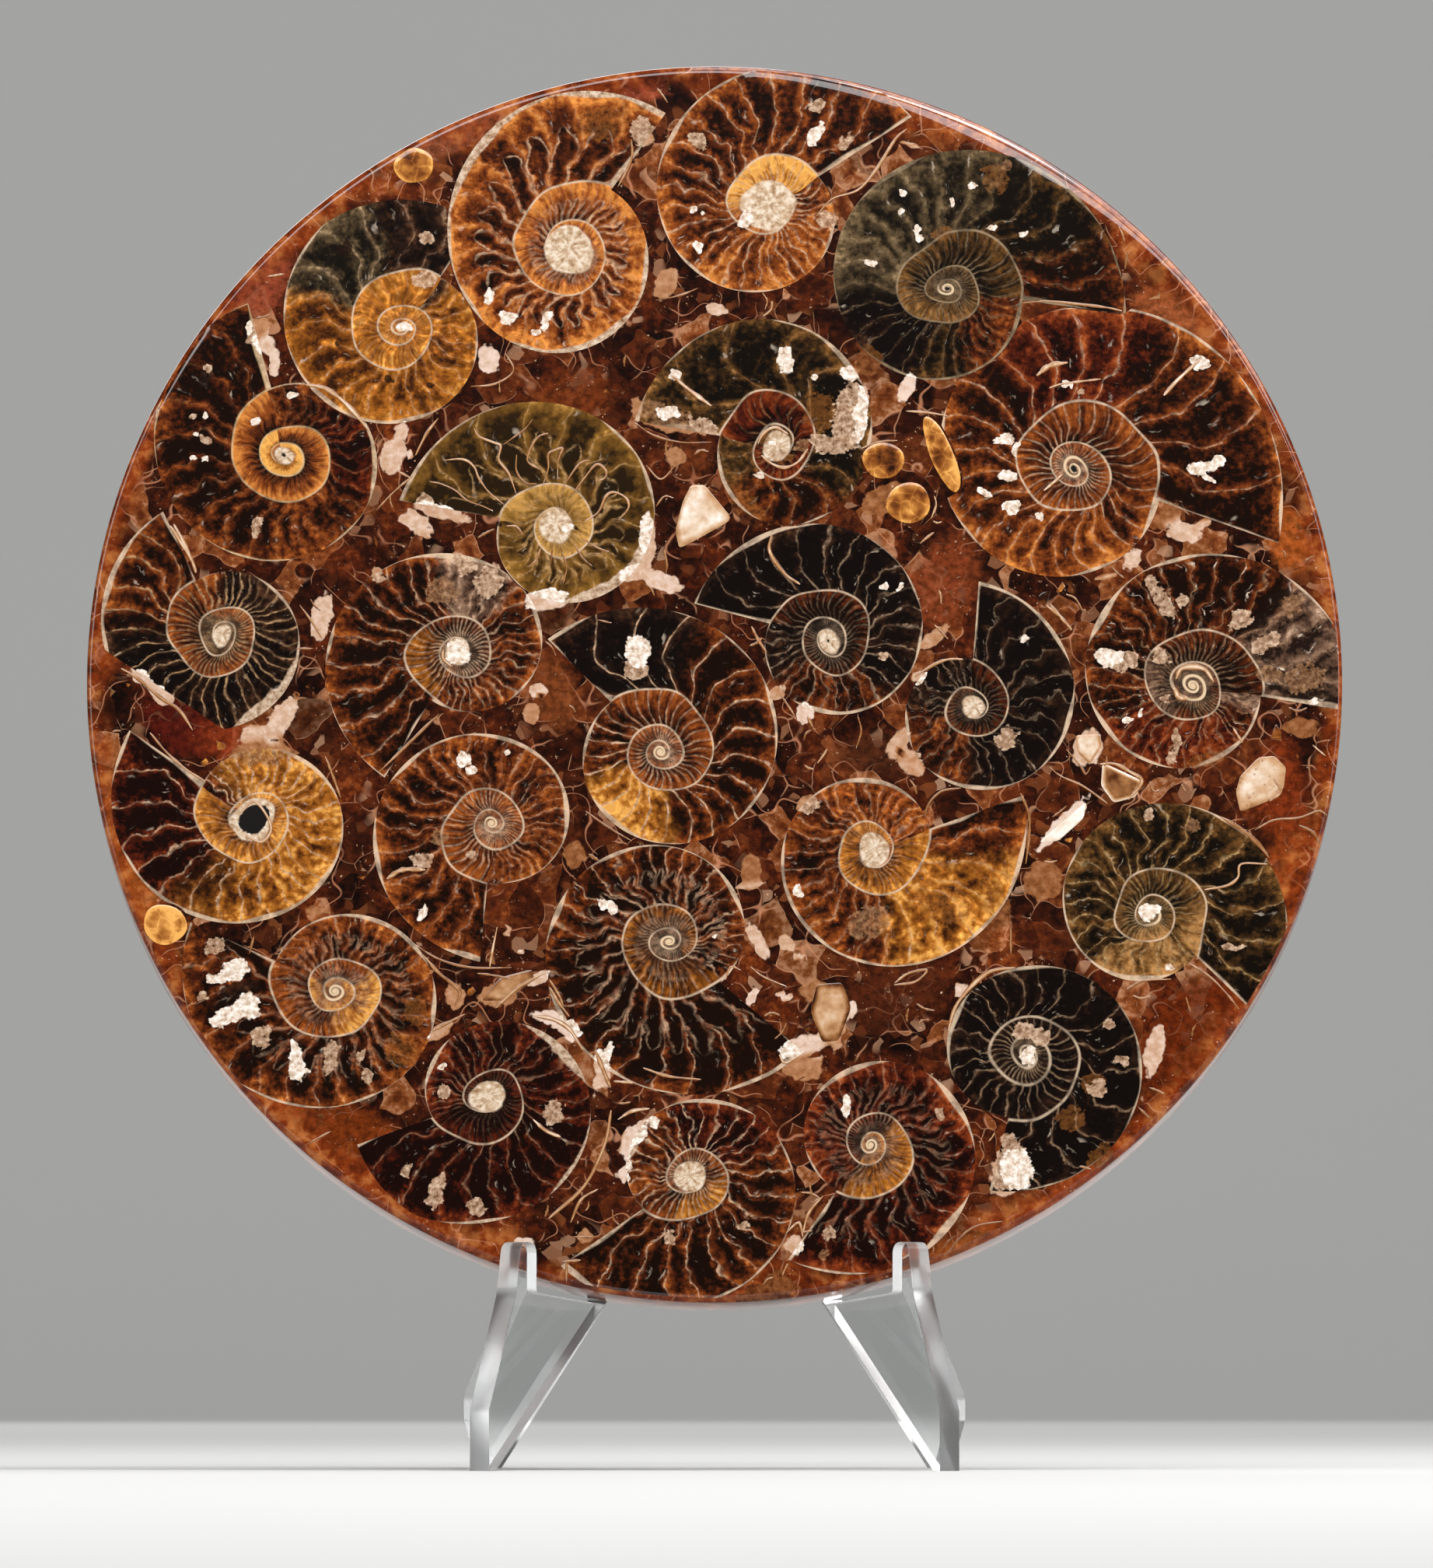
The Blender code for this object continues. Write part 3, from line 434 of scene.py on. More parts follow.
# Spots of calcite and dark pores: shade, centre, half length, half width, angle
BLOBS = (
    (0.95, 58.3, 38.6, 1.3, 0.8, -20), (0.95, 58.4, 25.9, 1.9, 0.9, 15), (0.9, 60.3, 26.8, 0.9, 0.5, 50),
    (0.85, 59.1, 24.6, 1, 0.45, -20), (0.95, 34.6, 29.3, 1.5, 0.65, 5), (0.9, 36.1, 28.1, 0.4, 1, 0),
    (0.95, 35.2, 24.7, 1.1, 0.6, 0), (0.8, 32.2, 22.8, 0.9, 0.4, -10), (0.98, 35.6, 21.1, 1, 0.8, 20),
    (0.85, 38.8, 20, 0.5, 0.5, 0), (0.8, 42.2, 35.8, 0.5, 0.6, 0), (0.75, 43.9, 35.1, 0.5, 0.5, 30),
    (0.85, 56.1, 18, 2.2, 1.2, -10), (0.8, 58.4, 19, 1.2, 0.5, 20), (0.4, 54.2, 20, 2, 1.2, 45),
    (0.85, 49.9, 14.7, 1.6, 1, 60), (0.75, 46.9, 12.5, 1.6, 0.4, 15), (0.3, -13.4, 67.8, 3.6, 2.1, 0),
    (0.7, -8.7, 66.8, 1.5, 2, -10), (0.9, -27.1, 46.6, 0.8, 0.8, 20), (0.95, -20.2, 43.8, 0.6, 1.2, -20),
    (0.85, -24.7, 44, 1.3, 1, 0), (0.8, -21.5, 42.5, 0.8, 0.4, 40), (0.75, -2, 65.7, 1.4, 1, -50),
    (0.8, 12.2, 66.8, 1.8, 0.7, 60), (0.75, 15.7, 65.7, 1.4, 0.6, 50), (0.7, 12.2, 70, 1, 0.8, 0),
    (0.95, -2.7, 57.5, 0.5, 0.5, 0), (0.8, -1.4, 56.9, 0.4, 0.4, 0), (0.85, -1.8, 52.8, 0.7, 0.9, 30),
    (0.7, 13.4, 56, 1.6, 1, -10), (0.95, 3.8, 56.2, 1.2, 0.8, 70), (0.05, 3.7, 55.4, 0.4, 0.4, 0),
    (0.6, -5.8, 48.3, 1.3, 2.2, -30), (0.85, 0.1, 45.1, 1.3, 0.9, -10), (0.95, -27.1, 39.1, 1.3, 1.9, 10),
    (0.75, 23.7, 65.2, 1.2, 0.5, -20), (0.95, 22.4, 59.3, 0.5, 0.6, 0), (0.9, 22.4, 57.1, 0.5, 0.5, 0),
    (0.95, 24.5, 54.8, 0.5, 0.6, 0), (0.85, 24.7, 54, 0.5, 0.5, 0), (0.8, 28.6, 58, 0.4, 0.8, 0),
    (0.95, 31, 60, 0.6, 0.6, 0), (0.95, 33.3, 55, 0.8, 0.4, 0), (0.9, 36.9, 54.1, 0.4, 0.4, 0),
    (0.8, 18.7, 50.7, 0.5, 0.5, 0), (0.35, 33.7, 61.3, 1.6, 2, 20), (0.3, 27.3, 54.4, 1.5, 0.9, 40),
    (0.45, 35.1, 62.7, 0.6, 0.8, 0), (0.55, -6, 32.1, 4.2, 1.7, -18), (0.9, -5.6, 32.5, 1.6, 0.9, -10),
    (0.62, -1.4, 30.9, 2, 1, -25), (0.9, -4.7, 37.2, 0.7, 0.7, 0), (0.98, 8.5, 39, 0.9, 2.1, 5),
    (0.6, 16.1, 31.7, 2, 4.6, -8), (0.85, 17.5, 32.1, 0.9, 3.6, -6), (0.6, 13.7, 28.5, 2.6, 1.2, -20),
    (0.85, 16.1, 37.2, 0.9, 1.4, 30), (0.35, 12.6, 32.5, 2.4, 2.2, 0), (0.8, 12, 36.8, 0.5, 0.5, 0),
    (0.2, 3.6, 21.4, 1.6, 1.7, 0), (0.15, 4.6, 20, 1.6, 1.5, 0), (0.35, 3.2, 22.2, 0.6, 0.6, 0),
    (0.98, 6.8, 28.7, 0.4, 0.4, 0), (0.5, 10.4, 28.7, 0.8, 0.9, 0), (0.3, 8, 27.3, 1.4, 0.9, -20),
    (0.3, 6.2, 29.3, 0.7, 0.7, 0), (0.9, 5.2, 25, 0.5, 0.4, 0), (0.98, 23.1, 35.6, 0.9, 2, -20),
    (0.85, 0.2, 45.1, 1.4, 0.8, -10), (0.28, 18.5, 38.8, 1.5, 2, -10), (0.4, 20.3, 22, 2.8, 1.6, 30),
    (0.55, -4.6, 27.1, 1.3, 1, 0), (0.6, -34.9, 48.8, 1.8, 1.1, 5), (0.6, -34.7, 53.6, 1.1, 0.8, -30),
    (0.85, -37.1, 43, 0.9, 0.8, 0), (0.05, -45.1, 40.9, 0.4, 0.35, 0), (0.05, -44.5, 52.4, 1, 0.9, 30),
    (0.05, -40.1, 56.5, 0.9, 0.7, -10), (0.05, -39, 36.5, 0.7, 0.5, -20), (0.05, -37.5, 52.7, 0.9, 1.1, 0),
    (0.05, -34.2, 35.7, 0.5, 0.4, 0), (0.9, -53.8, 40.8, 1.9, 1.1, -40), (0.9, -52.7, 38.2, 0.7, 1.5, -10),
    (0.6, -54.7, 42.4, 1.2, 2, -30), (0.95, -55.9, 42.9, 0.5, 0.9, 0), (0.85, -50.5, 34.7, 0.7, 0.6, 0),
    (0.8, -54.9, 31.2, 0.6, 0.5, 0), (0.75, -60.7, 37.9, 0.4, 0.7, 0), (0.05, -61, 36.6, 0.8, 1.1, 0),
    (0.8, -60.9, 32.2, 0.5, 0.5, 0), (0.75, -62.6, 32.2, 0.5, 0.4, 0), (0.9, -62.1, 29.9, 0.4, 0.4, 0),
    (0.7, -61, 29.3, 0.7, 0.8, 30), (0.8, -62.5, 26.9, 0.5, 0.3, 0), (0.8, -60.9, 26.8, 0.5, 0.3, 0),
    (0.7, -54.7, 18.4, 0.7, 1.6, -20), (0.85, -38.5, 27.3, 1.4, 2.6, -20), (0.85, -37.4, 30.4, 0.9, 0.9, 0),
    (0.95, -36.6, 27.3, 0.5, 0.5, 0), (0.95, -27.1, 39.2, 1.2, 1.6, 10), (0.85, -51.9, -4.9, 1.3, 3.2, -34),
    (0.85, -55, -6.4, 1.9, 0.8, 10), (0.05, -50.9, -3.9, 0.35, 0.35, 0), (0.05, -49.8, -1.9, 0.3, 0.3, 0),
    (0.05, -48.4, -0.6, 0.3, 0.3, 0), (0.88, -68.3, 0.2, 1.6, 1, -35), (0.85, -66, -1.9, 1.9, 1, -35),
    (0.85, -47, 7.7, 1.2, 3, -12), (0.5, -53.8, -8.8, 4, 1.4, 3), (0.7, -40.3, 12.6, 0.9, 1.1, 0),
    (0.75, -26.9, 11.8, 1.6, 2.2, -15), (0.65, -30, 14, 1.8, 1.2, -30), (0.5, -32.6, 10.8, 2, 1.6, 0),
    (0.9, -30.6, 3.4, 1.6, 1.5, 0), (0.95, -29.9, -9.6, 0.9, 0.9, 0), (0.85, -29.1, -11, 0.6, 0.7, 30),
    (0.98, -24.7, -8.7, 0.5, 0.5, 0), (0.75, -34.9, -21.8, 1.6, 1, 0), (0.9, -34.8, -28.1, 0.5, 1.3, -20),
    (0.4, -32.9, -19, 1.2, 1, 0), (0.6, -29.1, -21, 0.6, 0.6, 0), (0.4, -16.7, -21.2, 1.3, 1.6, 0),
    (0.85, -21, -1.3, 1.1, 0.9, 20), (0.05, -21, -1.9, 0.5, 0.4, 0), (0.6, -21.9, -4.1, 1.1, 1.2, 0),
    (0.15, -21.9, -4.2, 0.6, 0.7, 0), (0.85, -20.6, 9.7, 2.4, 1.3, 20), (0.75, -34.6, 21.6, 1, 0.9, 0),
    (0.8, -32.7, 20.4, 3.6, 0.8, -17), (0.85, -35.8, 19.2, 2, 1, -20), (0.8, -34.7, 17.7, 1.2, 0.5, 0),
    (0.05, -36.6, 19.5, 0.4, 0.4, 0), (0.05, -31, 20.4, 0.5, 0.3, -20), (0.95, -17.5, 18.6, 0.9, 0.6, 0),
    (0.05, -16.6, 18.6, 0.35, 0.25, 0), (0.05, -25.6, 18.9, 0.5, 0.4, 0), (0.8, -8, 17, 0.9, 3.6, 0),
    (0.85, -9.6, 13.1, 2, 1, 25), (0.05, -8, 18, 0.5, 0.3, 0), (0.9, -6.2, 11.9, 2.6, 1.1, -15),
    (0.9, -20.1, 9.6, 2.8, 1.2, 12), (0.5, -4.6, 27.1, 0.6, 1.2, 0), (0.9, 20.4, 11.5, 0.5, 0.5, 0),
    (0.8, 22.2, 11, 0.6, 0.35, 40), (0.75, 20.3, 3, 0.6, 0.5, 0), (0.98, -9.2, 3.6, 1.7, 2.2, 0),
    (0.6, -9.3, 1.2, 1.6, 1.3, 0), (0.05, -9.3, 1.5, 0.7, 0.5, 0), (0.9, 37.1, 4.9, 0.5, 0.6, 0),
    (0.6, 34.9, -7, 1.6, 1.2, 30), (0.8, 24.4, 0.4, 1, 0.7, 50), (0.75, 22, -7.5, 1, 2.2, -40),
    (0.7, 23.5, -10.1, 1.8, 1.4, -40), (0.05, 22.4, -8.8, 0.5, 0.5, 0), (0.95, 10.8, -4, 1, 1.4, -10),
    (0.7, 7.5, -1.6, 1, 0.8, 30), (0.65, 26.3, 5.2, 0.8, 2.2, -50), (0.8, 44.3, -8.3, 1.4, 2.4, -20),
    (0.8, 47.1, 2.7, 1.9, 1.2, 0), (0.75, 49.7, 2.5, 1.2, 1.2, 0), (0.6, 48.4, 1.8, 1.2, 0.8, 0),
    (0.6, 53.6, 9.3, 0.9, 2.4, 35), (0.6, 52.5, 11.4, 0.8, 1.6, 30), (0.6, 56, 9.6, 0.7, 0.9, 0),
    (0.65, 62.8, 7.3, 1.6, 1.2, 30), (0.6, 65.9, 4.6, 2, 1, 30), (0.45, 69.1, 9, 1.6, 1.2, 20),
    (0.5, 70.5, 0.1, 2.6, 1.8, 0), (0.55, 66.2, 0.7, 1.8, 1, 0), (0.75, 53.3, 2.8, 1.2, 1, 0),
    (0.85, 71.7, -2.8, 0.7, 0.5, 0), (0.4, 70, -5.8, 2.4, 1.2, 0), (0.95, 49.4, -4.7, 0.6, 0.4, 0),
    (0.9, 50.8, -3.9, 0.7, 0.3, 50), (0.7, 55.1, -7.3, 0.5, 1.6, 0), (0.6, 54.5, -9.3, 0.6, 1, 0),
    (0.35, 58.6, -9.6, 2.6, 1, 15), (0.7, 53.8, -2.2, 0.6, 0.5, 0), (0.85, 44.6, -8.3, 1.6, 2.2, -20),
    (0.4, 71.1, -20.9, 1.2, 0.5, -10), (0.8, 66.5, -7.4, 0.5, 0.5, 0), (0.98, 41.7, -17.3, 4.4, 0.9, 46),
    (0.95, 54.4, -34.8, 0.6, 0.5, 0), (0.95, 51.8, -28.1, 1.3, 1, 20), (0.55, 56.8, -17.8, 1, 0.9, 0),
    (0.6, 51.8, -16.4, 0.8, 0.8, 0), (0.6, 61.8, -32.3, 1.6, 0.4, -5), (0.7, 46.9, -41.6, 0.7, 0.6, 0),
    (0.6, 48.4, -45.9, 1, 0.6, 20), (0.85, 52.3, -44.8, 1.2, 3, -10), (0.75, 52.4, -50.6, 1.6, 0.8, 0),
    (0.3, 45.1, -48.9, 1.6, 1.2, 0), (0.25, 42.4, -53, 2, 1.6, 0), (0.3, 45.9, -57.4, 1.8, 1.2, 40),
    (0.75, 36.8, -42.5, 1.6, 1.2, 0), (0.7, 38.9, -43.2, 1.2, 1.2, 0), (0.8, 37.4, -45.5, 0.9, 1.4, 0),
    (0.8, 35.8, -59.1, 2.2, 2.6, 20), (0.9, 10, -25.5, 0.6, 0.7, 0), (0.6, 11.1, -15.1, 1.4, 1.1, 30),
    (0.4, 18.4, -29.5, 2.6, 2, 30), (0.3, 27.4, -27.1, 4, 2.6, -25), (0.3, 33.3, -26.7, 1.6, 3.2, 20),
    (0.85, -12.8, -27.5, 1.6, 0.7, -35), (0.95, 4.5, -38.3, 0.6, 1.2, -30), (0.9, 8.4, -38.3, 1.4, 0.5, -20),
    (0.85, 5.1, -31.5, 0.8, 2.6, 28), (0.9, 0.1, -30.9, 0.3, 0.3, 0), (0.75, 8.6, -31.9, 1.2, 0.9, -30),
    (0.8, 10.2, -33.5, 1.2, 0.5, -15), (0.8, 4.3, -24.9, 1.8, 0.5, 10), (0.45, 4.3, -23.1, 1.2, 2, 0),
    (0.5, 12.5, -37.9, 2.6, 1.4, -20), (0.65, 13.9, -41.1, 1.6, 3.4, 5), (0.95, 15.9, -39.9, 1.1, 1.2, 0),
    (0.9, 10.6, -44.3, 3.2, 1.3, 18), (0.55, 10.6, -46.9, 2.6, 1.4, 0), (0.85, -13.4, -46.9, 0.9, 2.6, 12),
    (0.85, -20.9, -36.1, 1.6, 0.7, 25), (0.4, 39.2, -24.3, 2.2, 2.4, 0), (0.9, -57.1, -35, 1.8, 1.4, 20),
    (0.9, -59.2, -36, 1.4, 0.8, -10), (0.92, -57.8, -40.4, 2.6, 1.2, 22), (0.85, -55.6, -39.4, 1.6, 1.6, 30),
    (0.6, -59.6, -32.2, 1.4, 1.2, 0), (0.6, -60.9, -38.2, 0.8, 0.8, 0), (0.05, -56.6, -37.3, 2.4, 0.9, 12),
    (0.7, -53.9, -43.1, 1.2, 1.6, -20), (0.8, -49.7, -46.1, 1, 2.6, 5), (0.8, -49.2, -47.3, 1.1, 0.6, 0),
    (0.75, -45.7, -46.1, 0.8, 1.8, 0), (0.6, -45.7, -44.7, 1, 1, 0), (0.75, -42.1, -45.4, 0.5, 1, -20),
    (0.7, -41.3, -47.8, 0.6, 0.9, 0), (0.35, -37.3, -44.7, 2.2, 2.2, 40), (0.3, -35.6, -40.1, 1.6, 1.8, 0),
    (0.5, -47.3, -28, 1.4, 0.6, 0), (0.6, -30.9, -38.3, 1.2, 1.6, 0), (0.55, -25.9, -38.2, 2.2, 1.4, 0),
    (0.95, -23, -32.7, 0.4, 0.6, 30), (0.8, -24.7, -30.4, 0.4, 0.8, 0), (0.97, -19.2, -41, 2.6, 0.9, -15),
    (0.97, -17.3, -42.2, 1.6, 1.2, -50), (0.7, -33.1, -61.8, 1, 2.4, -15), (0.7, -28.3, -63.6, 1.2, 1, 0),
    (0.7, -36.6, -59.4, 0.6, 0.9, 0), (0.6, -19.2, -52.4, 1.2, 1.6, 0), (0.6, -32.5, -42.5, 1.4, 0.8, 40),
    (0.8, -32.3, -46.8, 0.5, 0.6, 0), (0.7, -32.1, -49.9, 0.7, 0.9, 0), (0.8, -32.8, -42.4, 2, 0.6, 35),
    (0.85, -13.3, -46.8, 0.8, 3.4, -15), (0.98, -22.8, -68.2, 1.6, 1, 15), (0.92, -9.3, -54.8, 1.6, 1.1, 40),
    (0.95, -10.4, -56.8, 0.7, 2.6, 0), (0.95, -10.8, -60, 0.8, 0.9, 0), (0.05, -9.5, -55.7, 0.4, 0.4, 0),
    (0.85, -7.4, -53.4, 1, 0.8, -20), (0.6, -5.4, -67.2, 1, 1, 0), (0.6, 3.4, -65.7, 0.9, 0.6, 0),
    (0.55, -15.4, -67.2, 1, 1, 0), (0.8, 9.6, -68.2, 1.3, 1.2, 0), (0.85, 15.6, -51.4, 0.5, 1.3, 0),
    (0.7, 26.8, -52.4, 0.6, 0.9, 30), (0.6, 13.6, -66.7, 0.9, 1, 0), (0.5, 12.9, -69.2, 0.7, 0.7, 0),
    (0.78, 34.9, -58.8, 1.9, 3.4, -20), (0.7, 35.1, -55.8, 1.2, 1, 0), (0.9, 29.3, -37.5, 0.8, 0.9, 30),
    (0.6, 45.6, -49.4, 1.2, 1, 0), (0.25, 6.1, -74.2, 3.6, 1.4, 15), (0.3, 8, -72.7, 2, 1.6, -20),
)

# How finely the meshes are made
RAYS = 160                 # points round an ammonite
RINGS = (0.3, 0.6, 0.8, 0.88, 0.92, 0.95, 0.98, 1.0)
DISC_STEPS = 360           # points round the slab
FACE_RINGS = 96            # rings on its flat face, which carry the matrix's fields
SHARP_ANGLE = 35

# Lengths in millimetres, and sizes of a piece's back as a share of its face
APERTURE_SLIT = 0.3        # left open at a shell's mouth, in degrees
PIECE_GAP = 0.12
RIM_KEEP = 0.5             # between a shell and the rim
PROUD = 0.02
SHELL_DEPTH = 4.2
SHELL_BACK = 0.75
CHIP_DEPTH = 2.5
CHIP_BACK = 0.75
SPECKLED_CHIP = 3
PEBBLE_KEEP = 1.06         # how much wider a pebble's place is than the pebble
EDGE_DROP = 1.1            # how far the rounded edge of the face falls, at most
BACK_ROUND = 0.8
FLAT_GAP = 0.05            # between a flat face and the rounding round it
WORN_SPREAD = 15.0         # how far the worn stretch of the edge runs, in degrees
RIM_TINT = (4.5, 0.5)      # in from the edge, where the clear rim begins and where it is full
RIM_DULL = (1.2, 0.2)      # the same for the duller edge
DULL_HEIGHT = (-30.0, 20.0)  # the edge is fully dull below the first, and glossy above the second

CRUMBS = 170
CRUMB_TRIES = 6000
CRUMB_KEEP = 0.9           # between a crumb and a shell
CRUMB_RIM = 1.6


# ---------------------------------------------------------------------------
# Shader expressions
# ---------------------------------------------------------------------------

def tone(red, green, blue):
    """A display colour, 0 to 255, as the linear colour that a shader takes."""
    channels = []
    for value in (red, green, blue):
        share = value / 255
        channels.append(share / 12.92 if share <= 0.04045 else ((share + 0.055) / 1.055) ** 2.4)
    return (*channels, 1.0)


class Value:
    """A shader socket that Python's operators work on. + and - also take a number on their left."""

    def __init__(self, graph, socket):
        self.graph = graph
        self.socket = socket

    def math(self, operation, *others):
        return self.graph.add("ShaderNodeMath", {"operation": operation}, [self, *others])

    def __add__(self, other):
        return self.math("ADD", other)

    __radd__ = __add__

    def __sub__(self, other):
        return self.math("SUBTRACT", other)

    def __rsub__(self, other):
        return self.graph.add("ShaderNodeMath", {"operation": "SUBTRACT"}, [other, self])

    def __mul__(self, other):
        return self.math("MULTIPLY", other)

    def __truediv__(self, other):
        return self.math("DIVIDE", other)

    def __pow__(self, other):
        return self.math("POWER", other)

    def floor(self):
        return self.math("FLOOR")

    def fraction(self):
        return self.math("FRACT")

    def size(self):
        return self.math("ABSOLUTE")

    def sine(self):
        return self.math("SINE")

    def cosine(self):
        return self.math("COSINE")

    def least(self, other):
        return self.math("MINIMUM", other)

    def most(self, other):
        return self.math("MAXIMUM", other)

    def below(self, other):
        return self.math("LESS_THAN", other)

    def rise(self, low, high):
        """0 below low, 1 above high, smooth between them."""
        return self.eased(low, high, 0.0, 1.0)

    def fall(self, low, high):
        """1 below low, 0 above high, smooth between them."""
        return self.eased(low, high, 1.0, 0.0)

    def eased(self, low, high, start, end):
        """From start at low to end at high, level beyond them."""
        options = {"interpolation_type": "SMOOTHSTEP"}
        return self.graph.add("ShaderNodeMapRange", options, [self, low, high, start, end])


class Graph:
    """The nodes of one material, ending in a Principled shader."""

    def __init__(self, name):
        self.material = bpy.data.materials.new(name)
        self.material.use_nodes = True
        self.tree = self.material.node_tree
        self.shader = self.tree.nodes["Principled BSDF"]

    def add(self, kind, options=None, inputs=(), output=0):
        """A node of this kind. inputs is a list in socket order, or socket names with values."""
        node = self.tree.nodes.new(kind)
        for key, value in (options or {}).items():
            setattr(node, key, value)
        pairs = inputs.items() if isinstance(inputs, dict) else enumerate(inputs)
        for key, value in pairs:
            self.feed(node.inputs[key], value)
        return Value(self, node.outputs[output])

    def feed(self, socket, value):
        """Link or set one socket."""
        if isinstance(value, Value):
            self.tree.links.new(value.socket, socket)
        else:
            socket.default_value = value

    def finish(self, **sockets):
        """Set or link the shader's own sockets, named with _ for a space."""
        for name, value in sockets.items():
            self.feed(self.shader.inputs[name.replace("_", " ")], value)
        return self.material

    def spot(self):
        """Place on the disc, in its own millimetres."""
        return self.add("ShaderNodeAttribute", {"attribute_name": "spot"}, output="Vector")

    def attribute(self, name):
        """A number kept on the mesh."""
        return self.add("ShaderNodeAttribute", {"attribute_name": name}, output="Fac")

    def parts(self, vector):
        """The three numbers of a vector."""
        first = self.add("ShaderNodeSeparateXYZ", None, [vector])
        outputs = first.socket.node.outputs
        return [Value(self, outputs[index]) for index in range(3)]

    def joined(self, x, y, z=0.0):
        """A vector from three numbers."""
        return self.add("ShaderNodeCombineXYZ", None, [x, y, z])

    def vector(self, operation, *inputs):
        """Vector maths with a vector result."""
        return self.add("ShaderNodeVectorMath", {"operation": operation}, inputs)

    def scaled(self, vector, factor):
        """A vector times a number."""
        inputs = {"Vector": vector, "Scale": factor}
        return self.add("ShaderNodeVectorMath", {"operation": "SCALE"}, inputs)

    def noise(self, place, scale, detail=2.0, roughness=0.5, colour=False):
        """Soft noise from 0 to 1, or three of them."""
        inputs = {"Vector": place, "Scale": scale, "Detail": detail, "Roughness": roughness}
        return self.add("ShaderNodeTexNoise", None, inputs, "Color" if colour else "Fac")

    def cells(self, place, scale, feature="F1", output="Distance"):
        """Cell noise: distances, edge distances or a colour for each cell."""
        inputs = {"Vector": place, "Scale": scale}
        return self.add("ShaderNodeTexVoronoi", {"feature": feature}, inputs, output)

    def random(self, first, second, third):
        """A random number for each set of three whole numbers."""
        options = {"noise_dimensions": "3D"}
        return self.add("ShaderNodeTexWhiteNoise", options, [self.joined(first, second, third)])

    def blend(self, share, first, second, kind="MIX"):
        """Colours mixed by a share from 0 to 1."""
        node = self.tree.nodes.new("ShaderNodeMix")
        node.data_type = "RGBA"
        node.blend_type = kind
        self.feed(node.inputs[0], share)
        self.feed(node.inputs[6], first)
        self.feed(node.inputs[7], second)
        return Value(self, node.outputs[2])

    def ramp(self, share, stops):
        """Colours along a ramp of (place, colour)."""
        value = self.add("ShaderNodeValToRGB", None, [share])
        ramp = value.socket.node.color_ramp
        while len(ramp.elements) < len(stops):
            ramp.elements.new(0.5)
        for element, (place, colour) in zip(ramp.elements, stops):
            element.position = place
            element.color = colour
        return value

    def bump(self, height, distance, strength=1.0):
        """A normal from a height."""
        inputs = {"Strength": strength, "Distance": distance, "Height": height}
        return self.add("ShaderNodeBump", None, inputs, "Normal")


# ---------------------------------------------------------------------------
# Materials
# ---------------------------------------------------------------------------

def polished(graph, colour, chalk=0.0, relief=None, gloss=1.0):
    """Ends a material as stone under a hard gloss. chalk is where it is a little duller."""
    roughness = 0.16 if isinstance(chalk, float) else chalk * 0.2 + 0.14
    graph.finish(Base_Color=colour, Roughness=roughness, Metallic=0.0, IOR=1.5, Coat_Weight=gloss,
                 Coat_Roughness=0.03, Coat_IOR=1.5, Specular_IOR_Level=0.1)
    if relief is not None:
        graph.finish(Normal=relief)
    return graph.material


def stops(shades):
    """Ramp stops from places with display colours."""
    return [(place, tone(*colour)) for place, colour in shades]


def window(angle, centre, half):
    """1 in the middle of a range of angles, falling to 0 at half a width to each side."""
    turned = (angle - math.radians(centre)) / math.tau + 0.5
    away = (turned.fraction() - 0.5).size() * math.tau
    return 1 - (away / math.radians(half)).least(1.0)


def filling_ramp(graph, lightness, filling):
    """The colour of a filling at a lightness from 0 to 1."""
    places = (0.06, 0.32, 0.62, 0.95)
    return graph.ramp(lightness, [(place, tone(*colour)) for place, colour in zip(places, filling)])


